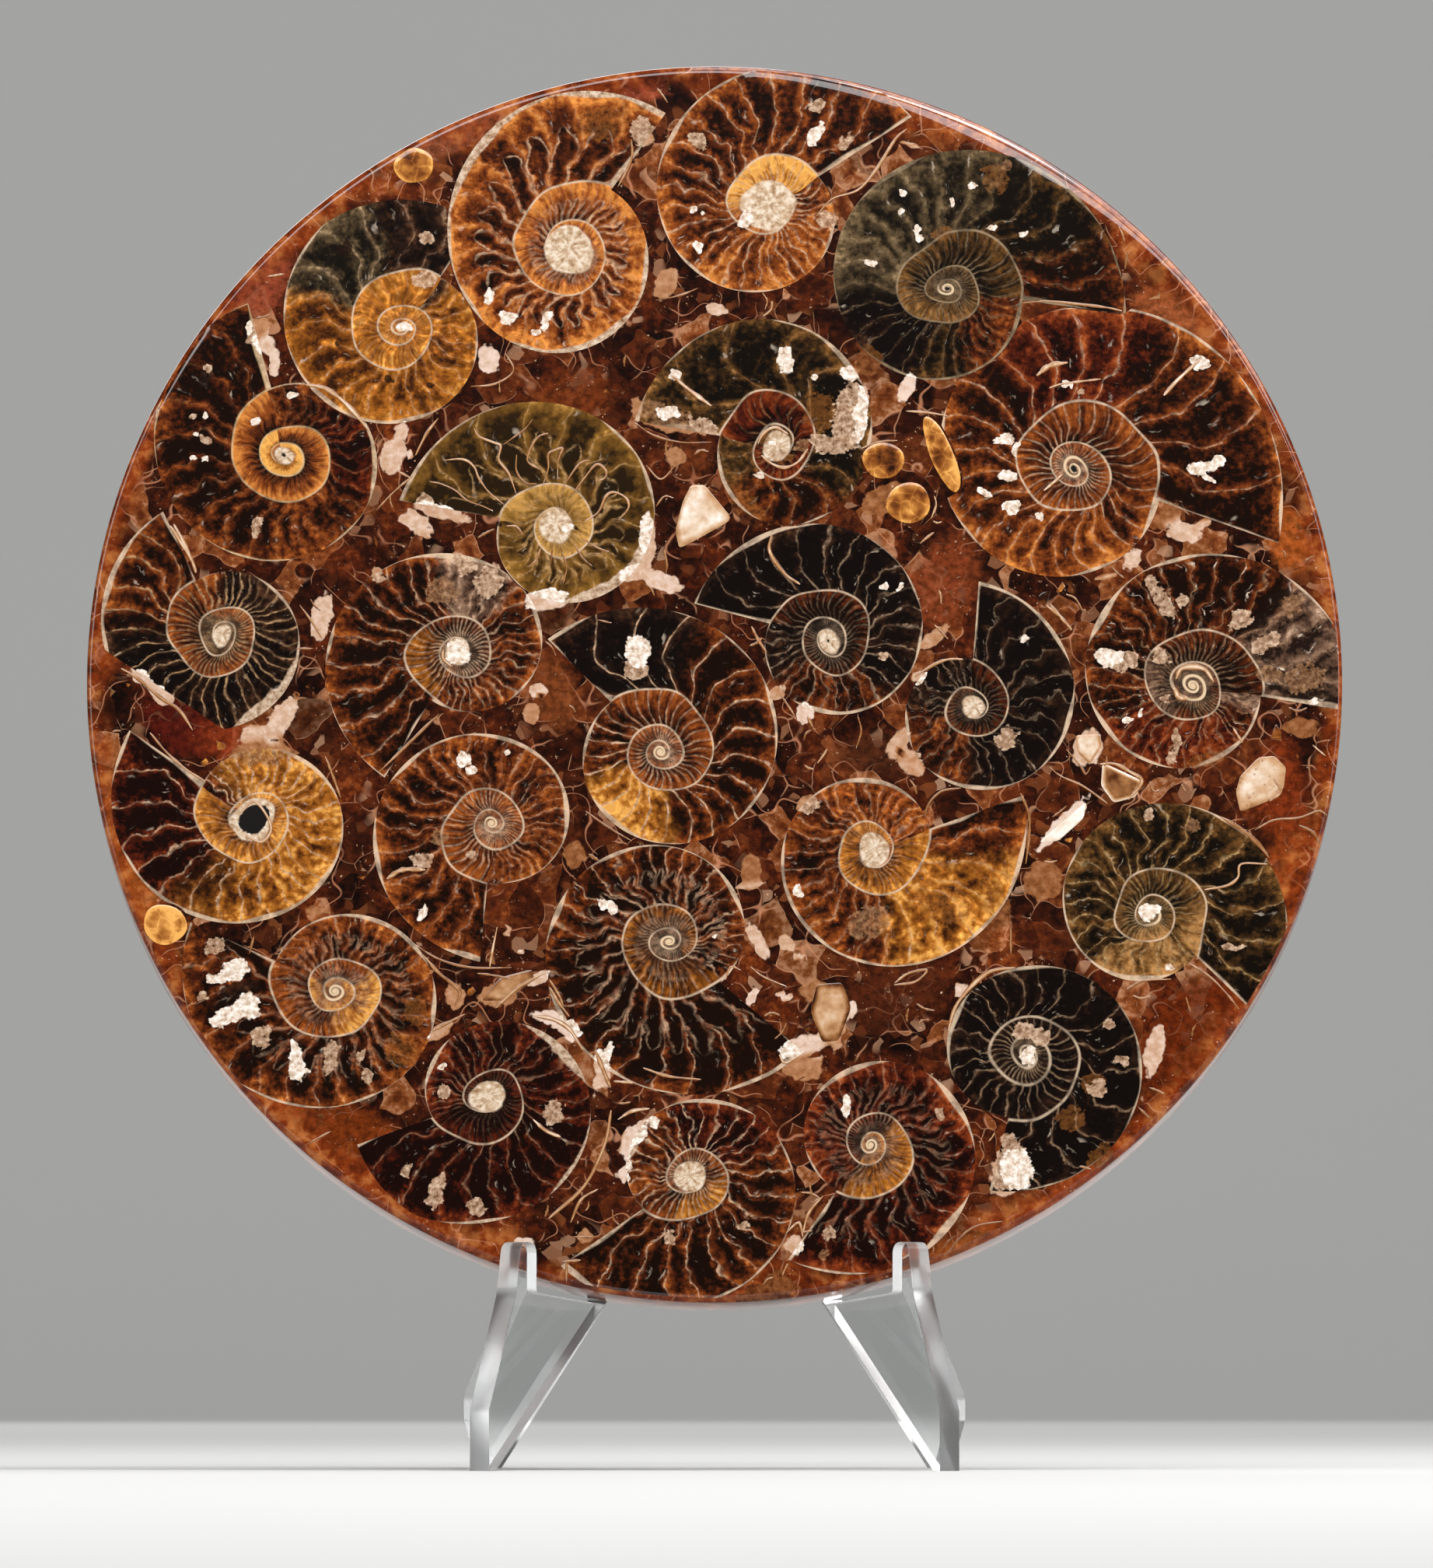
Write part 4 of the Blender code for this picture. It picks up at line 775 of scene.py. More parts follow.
class Spiral:
    """Where a point lies in one spiral shell: in which whorl and chamber, and how far from the walls."""

    def __init__(self, graph, shell):
        self.spot = graph.spot()
        self.here = warped(graph, self.spot, 0.16, 1.8, 0.0)
        x, y, _depth = graph.parts(graph.vector("SUBTRACT", self.here, (shell.x, shell.y, 0.0)))
        self.radius = ((x * x + y * y) ** 0.5).most(0.01)
        self.angle = y.math("ARCTAN2", x)
        self.blotches = graph.noise(self.spot, 0.42, 3.0, 0.62)
        self.grain = graph.noise(self.spot, 1.5, 3.0, 0.65)
        self.ripple = graph.noise(self.spot, 0.5, 0.5, 0.5) - 0.5
        self.find_whorl(shell)
        self.find_chamber(graph, shell)

    def find_whorl(self, shell):
        """Whorls in from the outer wall, with across from 0 to 1 through each, and turns back."""
        angle, radius = self.angle, self.radius
        self.back = ((math.radians(shell.angle) - angle) * (shell.sense / math.tau)).fraction()
        stretch = (angle * 2 - 2 * math.radians(shell.tilt)).cosine() * shell.oval
        growth = math.log(shell.growth)
        inward = (stretch - radius.math("LOGARITHM", math.e) + math.log(shell.mouth)) / growth
        inward = (inward - self.back).most(0.001)
        self.whorl = inward.floor()
        self.across = inward - self.whorl
        self.first = self.whorl.below(0.5)
        width = radius * growth
        self.from_outer = self.across * width
        self.from_inner = (1 - self.across) * width
        self.from_wall = self.from_outer.least(self.from_inner)
        self.margin = (self.from_outer * (-1 / shell.band_width)).math("EXPONENT")

    def find_chamber(self, graph, shell):
        """Chambers, closer together further back, with frilled walls between them."""
        across = self.across
        turns = self.back + self.whorl
        self.pitch = self.radius * (math.tau / shell.chambers) / (turns * 0.5 + 1)
        frill = (self.ripple * 1.7 + (self.grain - 0.5) * 0.55) * (self.first * 0.7 + 0.3) * shell.frill
        chamber = turns * (turns * 0.25 + 1) * shell.chambers
        scallops = (across * 15.0).sine() * across * (0.09 * shell.frill)
        wave = (across * math.pi).sine() * 0.55
        self.chamber = chamber + wave - across * 0.25 + frill / self.pitch + scallops
        number = self.chamber.floor()
        phase = self.chamber - number
        self.from_septum = phase.least(1 - phase) * self.pitch
        self.chance = graph.random(number, self.whorl, 1.0)
        arch = ((across - 0.3) / 0.35).most(0.0).least(1.0) ** 0.5 * 0.9
        self.from_arch = arch - (phase * 2 - 1).size()


def chamber_colour(graph, shell, spiral):
    """What fills the chambers: lightness in the outer whorl and in the inner ones, then the zones."""
    across, whorl, first = spiral.across, spiral.whorl, spiral.first
    from_septum, blotches, grain = spiral.from_septum, spiral.blotches, spiral.grain
    streak = graph.noise(graph.joined(spiral.chamber * 2.3, across * 1.6, whorl * 3.7), 1.0, 3.0, 0.6)
    glow = (from_septum * -2.4).math("EXPONENT")
    lumen = from_septum.rise(0.1, 1.2) * spiral.from_outer.rise(0.4, 2.4) * spiral.from_inner.rise(0.0, 1.0)
    sugar = graph.cells(warped(graph, spiral.spot, 1.2, 0.5, 0.0), 1.05)
    cloud = (blotches - 0.5) * (0.85 * shell.contrast) + (grain - 0.5) * (0.95 * shell.contrast)
    cloud = cloud + (0.42 - sugar) * shell.grit
    light = cloud + spiral.margin * (blotches + 0.5) * shell.band + glow * 0.16
    light = light + (spiral.chance - 0.5) * 0.22
    light = light - lumen * shell.lumen + (streak - 0.5) * 0.5 + (shell.outer + 0.05)
    if shell.petals:
        light = light - spiral.from_arch.rise(0.0, 0.35) * (0.14 * shell.petals)
    inside = (1 - across) * shell.inner_band + (streak - 0.5) * 1.2 + cloud * 0.55 + (shell.inner - 0.12)
    light = inside + (light - inside) * first
    body = filling_ramp(graph, light, shell.filling)
    for zone in shell.zones:
        share = first if zone.whorl == 0 else (whorl - zone.whorl).size().below(0.5)
        if zone.half < 180:
            uneven = spiral.angle + (blotches - 0.5) * 0.5
            share = window(uneven, zone.angle, zone.half).rise(0.0, 0.4) * share
        filling = zone.filling or shell.filling
        lift = zone.shift + (0.42 - sugar) * 0.3 if filling is GOLD else zone.shift
        body = graph.blend(share, body, filling_ramp(graph, light + lift, filling))
    return body


def with_cracks(graph, body, shell, spiral):
    """The colour with a fine web of cracks and, where there are any, bubbly skins."""
    web = graph.cells(spiral.here, 0.85, "DISTANCE_TO_EDGE").fall(0.0, 0.13)
    web = web * spiral.blotches.rise(0.35, 0.65)
    body = graph.blend(web * (spiral.margin * 0.7 + 0.3) * shell.net, body, graph.scaled(body, 2.4))
    if shell.comb:
        bubbles = graph.cells(spiral.here, 0.5, "DISTANCE_TO_EDGE")
        skins = bubbles.fall(0.0, 0.14) * graph.noise(spiral.spot, 0.25, 1.0).rise(0.4, 0.6) * shell.comb
        body = graph.blend(bubbles.rise(0.12, 0.4) * shell.comb * 0.6, body, graph.scaled(body, 0.45))
        body = graph.blend(skins * 0.7, body, graph.scaled(body, 2.0))
    return body


def with_septa(graph, body, shell, spiral):
    """The colour with the walls between the chambers, or with petals that close them, and painted glints."""
    across, first = spiral.across, spiral.first
    broken = graph.noise(spiral.spot, 0.45, 2.0).rise(0.36, 0.6) * 0.8 + 0.2
    line = spiral.from_septum.fall(0.0, 0.2) * 1.3
    if shell.petals:
        from_petal = spiral.from_arch.size() * spiral.pitch * 0.5
        petal = from_petal.fall(0.0, 0.26) * across.rise(0.28, 0.36)
        line = (line * (1 - 0.8 * shell.petals)).most(petal * shell.petals * 1.3)
    strength = first * (shell.septa - shell.inner_septa) + shell.inner_septa
    dull = tone(*(0.62 * channel for channel in shell.septum))
    septum_tone = graph.blend(spiral.grain.rise(0.38, 0.62), dull, tone(*shell.septum))
    body = graph.blend(line * broken * strength, body, septum_tone)
    body = graph.blend(1.0, body, WARM_LIGHT, "MULTIPLY")
    # Painted glints: white specks that stand in for highlights on the crystals
    if shell.painted_glints:
        place = graph.joined(spiral.chamber * 4.5, across * 5.0, spiral.whorl * 7.0)
        painted_glint_marks = graph.noise(place, 1.0, 2.5, 0.65).rise(0.6, 0.72)
        painted_glint_marks = painted_glint_marks * graph.noise(spiral.here, 0.4, 1.0).rise(0.46, 0.6)
        body = graph.blend(painted_glint_marks * shell.painted_glints * (first * 0.7 + 0.3), body, tone(*WHITE))
    return body


def with_walls(graph, body, shell, spiral):
    """The colour with the wall between the whorls, the edge of the mouth, and chalky rinds."""
    first = spiral.first
    wall = (spiral.from_wall - spiral.radius * 0.005).fall(0.0, shell.wall_width * 1.9)
    mouth = (spiral.back * spiral.radius * math.tau).fall(0.05, 0.35) * first
    dull = tone(*(0.66 * channel for channel in shell.wall))
    wall_tone = graph.blend(spiral.blotches.rise(0.35, 0.6), dull, tone(*shell.wall))
    body = graph.blend(wall.most(mouth) * 0.85, body, wall_tone)
    chalk_tone = graph.ramp(spiral.grain, stops(CHALK_SHADES))
    for rind in shell.rinds:
        thick = window(spiral.angle, rind.angle, rind.half) ** 0.6
        thick = thick * (spiral.blotches + 0.5) * rind.thickness
        body = graph.blend((spiral.from_outer - thick).fall(-0.1, 0.14) * first * 0.9, body, chalk_tone)
    return body


def with_core(graph, body, shell, spiral, core):
    """The colour with the heart of the shell: a ribbed disc, or a thicker wall."""
    if shell.core_kind == "disc":
        place = graph.joined(spiral.angle * 3.2, spiral.radius * 0.9, 3.0)
        ribs = graph.noise(place, 1.0, 2.0) * 0.5 + spiral.grain * 0.5
        return graph.blend(core * 0.95, body, graph.ramp(ribs, stops(CORE_SHADES)))
    thick_wall = (spiral.from_wall - spiral.radius * 0.06).fall(0.0, 0.18)
    filled = graph.blend(thick_wall * 0.9, body, tone(*CORE_WALL))
    return graph.blend(core, body, filled)


def ammonite_material(name, shell, blobs):
    """Whorls, walls and septa of one spiral shell, with the fillings of its chambers."""
    graph = Graph(name)
    spiral = Spiral(graph, shell)
    body = chamber_colour(graph, shell, spiral)
    body = with_cracks(graph, body, shell, spiral)
    body = with_septa(graph, body, shell, spiral)
    body = with_walls(graph, body, shell, spiral)
    ragged = spiral.radius + spiral.ripple * 0.8 + (spiral.grain - 0.5) * 0.5
    core = ragged.fall(shell.core - 0.16, shell.core + 0.16)
    body = with_core(graph, body, shell, spiral, core)
    body = with_blobs(graph, body, spiral.spot, spiral.grain, blobs)
    if shell.hole:
        body = graph.blend(ragged.fall(shell.hole - 0.1, shell.hole + 0.1), body, tone(*INK))
    return polished(graph, body, core, graph.bump(spiral.grain, 0.00001, 0.2))


def patch(graph, place, x, y, half_length, half_width, turn, soft=0.35):
    """1 inside an oval, falling to 0 around it."""
    inputs = {"Vector": place, "Location": (x, y, 0.0), "Rotation": (0.0, 0.0, math.radians(turn)),
              "Scale": (half_length, half_width, 1000.0)}
    local = graph.add("ShaderNodeMapping", {"vector_type": "TEXTURE"}, inputs)
    away = graph.add("ShaderNodeVectorMath", {"operation": "LENGTH"}, [local], "Value")
    return away.fall(1 - soft, 1 + soft)


def warped(graph, place, scale, reach, detail=2.0):
    """A place moved about by soft noise, by up to about half the reach."""
    shift = graph.vector("SUBTRACT", graph.noise(place, scale, detail, colour=True), (0.5, 0.5, 0.5))
    return graph.vector("ADD", place, graph.scaled(shift, reach))


def with_blobs(graph, body, spot, grain, blobs):
    """The colour with spots of calcite, shell and dark pores on it."""
    place = warped(graph, spot, 0.6, 2.0, 3.0)
    for lowest, highest, strength, broken, shades in BLOB_KINDS:
        cover = None
        for shade, x, y, half_length, half_width, turn in blobs:
            if lowest <= shade < highest:
                share = patch(graph, place, x, y, half_length, half_width, turn)
                cover = share if cover is None else cover.most(share)
        if cover is not None:
            share = (cover + (grain - 0.5) * broken).rise(0.54, 0.76) * cover.rise(0.0, 0.3)
            body = graph.blend(share * strength, body, graph.ramp(grain, stops(shades)))
    return body


def crushed_resin(graph, spot, soft, grain):
    """The colour of resin with lumps and crumbs in it, and where pale skins part the lumps."""
    bent = warped(graph, spot, 0.25, 3.0, 1.0)
    colour = graph.ramp(soft * 0.6 + grain * 0.4, stops(RESIN_SHADES))
    lumps = graph.cells(bent, 0.24, output="Color")
    inset = graph.cells(bent, 0.24, "DISTANCE_TO_EDGE")
    red, green, blue = graph.parts(lumps)
    lump_light = green + (grain - 0.5) * 0.9 - inset.rise(0.05, 0.4) * 0.25
    colour = graph.blend(red.rise(0.3, 0.5) * 0.6, colour, graph.ramp(lump_light, stops(LUMP_SHADES)))
    crumb_red, crumb_green, _blue = graph.parts(graph.cells(bent, 0.7, output="Color"))
    crushed = graph.noise(spot, 0.2, 1.0).rise(0.5, 0.58) * crumb_red.rise(0.4, 0.5)
    colour = graph.blend(crushed * 0.45, colour, graph.ramp(crumb_green, stops(CRUMB_SHADES)))
    skins = inset.fall(0.0, 0.03) * blue.rise(0.3, 0.5)
    return colour, skins * graph.noise(spot, 0.3, 1.0).rise(0.45, 0.6)


def with_flaws(graph, colour, spot, skins, calm):
    """The colour with pale skins and hairline cracks, fewer where it is calm, and painted glints."""
    colour = graph.blend(skins * calm * 0.6, colour, tone(*SKIN))
    ridge = (graph.noise(spot, 0.2, 0.6, 0.5) - 0.5).size()
    cracks = ridge.fall(0.0, 0.012) * graph.noise(spot, 0.16, 0.0).rise(0.5, 0.6)
    colour = graph.blend(cracks * calm * 0.6, colour, tone(*CRACK))
    # Painted glints: pale specks that stand in for highlights
    painted_glint_marks = graph.noise(spot, 2.3, 1.5, 0.6).rise(0.64, 0.72)
    painted_glint_marks = painted_glint_marks * graph.noise(spot, 0.4, 1.0).rise(0.52, 0.64)
    return graph.blend(painted_glint_marks * 0.6, colour, tone(*PAINTED_GLINT))


def matrix_material():
    """Red-brown resin full of crushed fossil, clearer and more orange in places."""
    graph = Graph("resin_matrix")
    spot = graph.spot()
    x, y, depth = graph.parts(spot)
    radius = (x * x + y * y) ** 0.5
    soft = graph.noise(spot, 0.11, 3.0, 0.6)
    grain = graph.noise(spot, 1.0, 4.0, 0.65)
    colour, skins = crushed_resin(graph, spot, soft, grain)

    # Coloured places, ragged at their edges, and the clear rim
    tint = graph.joined(*(graph.attribute(f"patch_{channel}") for channel in ("red", "green", "blue")))
    share = (graph.attribute("patch") + (soft - 0.5) * 0.8 + (grain - 0.5) * 0.3).rise(0.2, 0.7)
    colour = graph.blend(share * 0.85, colour, graph.scaled(tint, grain.rise(0.3, 0.7) * 0.75 + 0.4))
    rim = (radius + (soft - 0.5) * 10).rise(RADIUS - RIM_TINT[0], RADIUS - RIM_TINT[1])
    streaks = graph.noise(spot, 0.35, 3.0, 0.65)
    rim_tone = graph.ramp(streaks, (
        (0.36, tone(*RIM_DARK)), (0.5, (*settings().rim_colour, 1.0)), (0.64, tone(*RIM_LIGHT)),
    ))
    colour = graph.blend(rim * 0.75, colour, rim_tone)
    colour = with_flaws(graph, colour, spot, skins, 1 - share * 0.8)

    # Loose bits of shell, then the plain back
    cover = (graph.attribute("cover") + (graph.noise(spot, 0.8, 2.0) - 0.5) * 0.9).rise(0.52, 0.66)
    shell_tone = graph.ramp(graph.attribute("shade") + (grain - 0.5) * 0.7, stops(SHELL_SHADES))
    colour = graph.blend(cover * 0.9, colour, shell_tone)
    back = depth.below(-THICKNESS + 0.02)
    colour = graph.blend(1.0, colour, WARM_RESIN, "MULTIPLY")
    colour = graph.blend(back, colour, graph.blend(0.5, colour, tone(*DULL_BACK)))
    relief = graph.bump(graph.noise(spot, 0.6, 1.0), 0.00002, 0.25)
    worn = radius.rise(RADIUS - RIM_DULL[0], RADIUS - RIM_DULL[1]) * y.fall(*DULL_HEIGHT)
    return polished(graph, colour, back, relief, gloss=1 - worn * 0.85)


def shell_material(name, amber=False):
    """Broken shell and calcite, from dark brown through cream to white by each piece's shade."""
    graph = Graph(name)
    spot = graph.spot()
    grain = graph.noise(spot, 1.3, 3.0, 0.6)
    slow = graph.noise(spot, 0.4, 2.0, 0.6)
    shade = graph.attribute("shade") + (grain - 0.5) * 0.3 + (slow - 0.5) * graph.attribute("drift")
    if amber:
        flaws = graph.cells(warped(graph, spot, 0.5, 1.5), 0.5, "DISTANCE_TO_EDGE").fall(0.0, 0.06)
        shade = shade + (graph.noise(spot, 0.5, 2.0) - 0.55) * 1.3 + flaws * 0.15
    colour = graph.ramp(shade, stops(AMBER_SHADES if amber else SHELL_SHADES))
    specks = graph.cells(spot, 1.6).fall(0.1, 0.3) * graph.attribute("specks")
    colour = graph.blend(specks * 0.7, colour, tone(*SPECK))
    return polished(graph, colour, relief=graph.bump(grain, 0.00001, 0.3))


def acrylic_material(name, normal):
    """Clear acrylic sheet. Its sawn edges, which turn away from this normal, are a little frosted."""
    graph = Graph(name)
    facing = graph.add("ShaderNodeNewGeometry", output="Normal")
    inputs = [facing, tuple(normal)]
    flat = graph.add("ShaderNodeVectorMath", {"operation": "DOT_PRODUCT"}, inputs, "Value")
    sawn = flat.size().fall(0.5, 0.9)
    return graph.finish(
        Base_Color=(*settings().acrylic_colour, 1.0), Roughness=sawn * 0.3 + 0.02, Metallic=0.0, IOR=1.49,
        Transmission_Weight=1.0,
    )


def stage_material(name, colour):
    """Matt paper."""
    graph = Graph(name)
    mottle = graph.noise(graph.add("ShaderNodeTexCoord", output="Object"), 3.0, 2.0)
    pale = tuple(min(1.0, 1.02 * channel) for channel in colour)
    return graph.finish(
        Base_Color=graph.blend(mottle, (*colour, 1.0), (*pale, 1.0)), Roughness=0.9, Metallic=0.0,
        Specular_IOR_Level=0.1,
    )


# ---------------------------------------------------------------------------
# Shapes
# ---------------------------------------------------------------------------

def direction(degrees):
    """Unit vectors at angles, one in each row."""
    turned = np.radians(degrees)
    return np.stack((np.cos(turned), np.sin(turned)), axis=-1)


def rim_width(x, y):
    """Width of the rounded edge, which is widest at the upper right."""
    values = settings()
    away = np.degrees(np.arctan2(y, x)) - values.worn_angle
    return values.rim_width + values.worn_extra * np.exp(-(away / WORN_SPREAD) ** 2)


def surface(x, y):
    """Height of the polished surface at a place: flat, then rounding off towards the rim."""
    width = rim_width(x, y)
    run = np.clip((np.hypot(x, y) - (RADIUS - width)) / width, 0, 1)
    depth = np.minimum(width, EDGE_DROP)
    return depth * (np.sqrt(1 - run ** 2) - 1)


def to_world(points):
    """Places in the disc's millimetres, as metres in the frame."""
    axes = np.array((RIGHT, UP, OUT))
    return points * MM @ axes + np.array(MIDDLE)


def make_object(name, points, faces, material, numbers=None):
    """A mesh object from places in the disc's millimetres, which it keeps as the attribute spot."""
    mesh = bpy.data.meshes.new(name)
    mesh.from_pydata(to_world(points).tolist(), [], faces)
    spot = mesh.attributes.new("spot", "FLOAT_VECTOR", "POINT")
    spot.data.foreach_set("vector", np.asarray(points, dtype=np.float32).ravel())
    for label, values in (numbers or {}).items():
        layer = mesh.attributes.new(label, "FLOAT", "POINT")
        layer.data.foreach_set("value", np.asarray(values, dtype=np.float32))
    mesh.materials.append(material)
    mesh.validate()
    item = bpy.data.objects.new(name, mesh)
    bpy.context.scene.collection.objects.link(item)
    mesh.shade_smooth()
    mesh.set_sharp_from_angle(angle=math.radians(SHARP_ANGLE))
    return item


def closed_faces(rings, count):
    """Faces of a closed form: rings of points from its top down, then its top and bottom hubs."""
    faces = []
    for ring in range(rings - 1):
        first, second = ring * count, (ring + 1) * count
        for step in range(count):
            after = (step + 1) % count
            faces.append((second + step, second + after, first + after, first + step))
    top, last = rings * count, (rings - 1) * count
    for step in range(count):
        after = (step + 1) % count
        faces.append((top, step, after))
        faces.append((top + 1, last + after, last + step))
    return faces


def spiral_radius(shell, back):
    """Radius of the outer wall at a share of a turn back from the mouth."""
    angles = shell.angle - shell.sense * 360 * back
    stretch = np.exp(shell.oval * np.cos(np.radians(2 * (angles - shell.tilt))))
    return np.minimum(shell.mouth * shell.growth ** -back * stretch, shell.reach)


def ray_lengths(centre, rays, outline):
    """How far each ray from the centre runs before it meets the outline."""
    start = outline - centre
    side = np.roll(outline, -1, axis=0) - outline
    cross = rays[:, None, 0] * side[None, :, 1] - rays[:, None, 1] * side[None, :, 0]
    cross = np.where(np.abs(cross) < 1e-9, 1e-9, cross)
    length = (start[None, :, 0] * side[None, :, 1] - start[None, :, 1] * side[None, :, 0]) / cross
    share = (start[None, :, 0] * rays[:, None, 1] - start[None, :, 1] * rays[:, None, 0]) / cross
    hit = (length > 0) & (share >= 0) & (share <= 1)
    return np.where(hit, length, np.inf).min(axis=1)


def shell_outline(shell, others):
    """Corner points of a shell's cut face, kept off the others and on the polished face."""
    centre = np.array((shell.x, shell.y))
    back = np.linspace(0, 1 - APERTURE_SLIT / 360, RAYS)
    rays = direction(shell.angle - shell.sense * 360 * back)
    reach = spiral_radius(shell, back)
    for other in others:
        reach = np.minimum(reach, ray_lengths(centre, rays, other) - PIECE_GAP)
    along = rays @ centre
    if shell.broken:
        angle, distance = shell.broken
        toward = rays @ direction(angle)
        reach = np.where(toward > 0.01, np.minimum(reach, distance / np.maximum(toward, 0.01)), reach)
    edge = RADIUS - RIM_KEEP
    to_rim = -along + np.sqrt(along ** 2 + edge ** 2 - centre @ centre)
    return centre, rays, np.minimum(reach, to_rim)


def shell_mesh(name, shell, outline, material):
    """A slice of shell: polished face that follows the disc, sides that narrow to its back."""
    centre, rays, reach = outline
    count = len(rays)
    places = [centre + rays * (reach * share)[:, None] for share in RINGS]
    flat = np.vstack(places)
    top = np.column_stack((flat, surface(flat[:, 0], flat[:, 1]) + PROUD))
    foot = centre + rays * (reach * SHELL_BACK)[:, None]
    low = np.column_stack((foot, np.full(count, -SHELL_DEPTH)))
    hub = np.array(((*centre, PROUD), (*centre, -SHELL_DEPTH)))
    points = np.vstack((top, low, hub))
    faces = closed_faces(len(places) + 1, count)
    if shell.sense > 0:  # its points run clockwise
        faces = [face[::-1] for face in faces]
    return make_object(name, points, faces, material)


def disc_mesh(material):
    """The slab: flat face, rounded rim that varies in width, side, small rounding and flat back."""
    count = DISC_STEPS
    rays = direction(np.arange(count))
    width = rim_width(rays[:, 0], rays[:, 1])
    rings = []
    for share in np.linspace(0.008, 0.955, FACE_RINGS):
        rings.append(np.column_stack((rays * RADIUS * share, np.zeros(count))))
    rings.append(np.column_stack((rays * (RADIUS - width - FLAT_GAP)[:, None], np.zeros(count))))
    for degrees in range(0, 91, 9):
        run = math.sin(math.radians(degrees))
        flat = rays * (RADIUS - width + width * run)[:, None]
        rings.append(np.column_stack((flat, surface(flat[:, 0], flat[:, 1]))))
    for degrees in range(0, 91, 15):
        turn = math.radians(degrees)
        flat = rays * (RADIUS - BACK_ROUND * (1 - math.cos(turn)))
        height = -THICKNESS + BACK_ROUND * (1 - math.sin(turn))
        rings.append(np.column_stack((flat, np.full(count, height))))
    for out in (RADIUS - BACK_ROUND - FLAT_GAP, RADIUS * 0.5):
        rings.append(np.column_stack((rays * out, np.full(count, -THICKNESS))))
    points = np.vstack((*rings, np.array(((0, 0, 0), (0, 0, -THICKNESS)))))
    faces = closed_faces(len(rings), count)
    return make_object("disc_body", points, faces, material, numbers=matrix_fields(points[:, :2]))


class Batch:
    """Many small closed pieces that become one object."""

    def __init__(self):
        self.points, self.faces, self.shades, self.specks, self.drifts = [], [], [], [], []

    def add(self, points, faces, shade, specks=0.0, drift=0.3):
        """One more piece. shade, specks and drift go to its material."""
        start = sum(len(part) for part in self.points)
        self.points.append(np.asarray(points, dtype=float))
        self.faces += [tuple(start + corner for corner in face) for face in faces]
        self.shades.append(np.broadcast_to(shade, len(points)))
        self.specks.append(np.full(len(points), specks))
        self.drifts.append(np.full(len(points), drift))

    def plug(self, outline, shade, lift=0.03, depth=0.25, specks=0.0, shrink=1.0, edge=None):
        """A flat piece whose middle sees its whole outline. edge is its shade round the rim."""
        outline = np.asarray(outline, dtype=float)
        middle = outline.mean(axis=0)
        count = len(outline)
        rings = []
        for share, height in ((0.72, lift), (0.95, lift), (1.0, lift - 0.02), (shrink, -depth)):
            flat = middle + (outline - middle) * share
            rings.append(np.column_stack((flat, surface(*flat.T) + height)))
        height = float(surface(*middle))
        hubs = [(*middle, height + lift), (*middle, height - depth)]
        last = len(rings) * count
        shades = np.full(last + 2, shade, dtype=float)
        if edge is not None:
            shades[count:last] = edge
        drift = 0.3 if edge is None else 0.7
        self.add(np.vstack((*rings, hubs)), closed_faces(len(rings), count), shades, specks, drift)

    def ribbon(self, path, width, shade, draw, lift=0.03, depth=0.12):
        """A line that tapers to both ends and is brightest along its middle."""
        path = smooth_path(path)
        along = np.gradient(path, axis=0)
        along /= np.linalg.norm(along, axis=1)[:, None]
        side = np.column_stack((-along[:, 1], along[:, 0]))
        share = np.linspace(0, 1, len(path))
        waver = np.interp(share, np.linspace(0, 1, 9), draw.uniform(0.6, 1.3, 9))
        half = (width * 0.32 + 0.04) * (0.3 + 0.7 * np.sin(math.pi * share) ** 0.5) * waver
        lit = np.interp(share, np.linspace(0, 1, 13), draw.uniform(0.6, 1.15, 13))
        columns = []
        for place, rise in ((1, 0.0), (0, lift), (-1, 0.0)):
            flat = path + side * (half * place)[:, None]
            columns.append(np.column_stack((flat, surface(*flat.T) + PROUD + 0.005 + rise)))
        for place in (-1, 1):
            flat = path + side * (half * place)[:, None]
            columns.append(np.column_stack((flat, surface(*flat.T) - depth)))
        count = len(path)
        around = len(columns)
        faces = []
        for step in range(count - 1):
            for column in range(around):
                here, beside = column * count + step, (column + 1) % around * count + step
                faces.append((here, beside, beside + 1, here + 1))
        ends = [column * count for column in range(around)]
        faces.append(tuple(reversed(ends)))
        faces.append(tuple(end + count - 1 for end in ends))
        edge = np.full(count, min(shade, 0.28))
        shades = np.concatenate((edge, edge + (shade - edge) * lit, edge, edge, edge))
        self.add(np.vstack(columns), faces, shades)

    def finish(self, name, material):
        """All the pieces as one object."""
        numbers = {
            "shade": np.concatenate(self.shades),
            "specks": np.concatenate(self.specks),
            "drift": np.concatenate(self.drifts),
        }
        return make_object(name, np.vstack(self.points), self.faces, material, numbers=numbers)


def smooth_path(corners, steps=6):
    """A smooth curve through places."""
    corners = np.asarray(corners, dtype=float)
    ends = np.vstack((2 * corners[0] - corners[1], corners, 2 * corners[-1] - corners[-2]))
    share = np.linspace(0, 1, steps, endpoint=False)[:, None]
    pieces = []
    for before, here, after, later in zip(ends, ends[1:], ends[2:], ends[3:]):
        pieces.append(0.5 * (
            2 * here + (after - before) * share + (2 * before - 5 * here + 4 * after - later) * share ** 2
            + (3 * here - before - 3 * after + later) * share ** 3
        ))
    return np.vstack((*pieces, corners[-1:]))


def spun(flat, angle):
    """Places turned about the origin."""
    return flat @ np.array(((math.cos(angle), math.sin(angle)), (-math.sin(angle), math.cos(angle))))


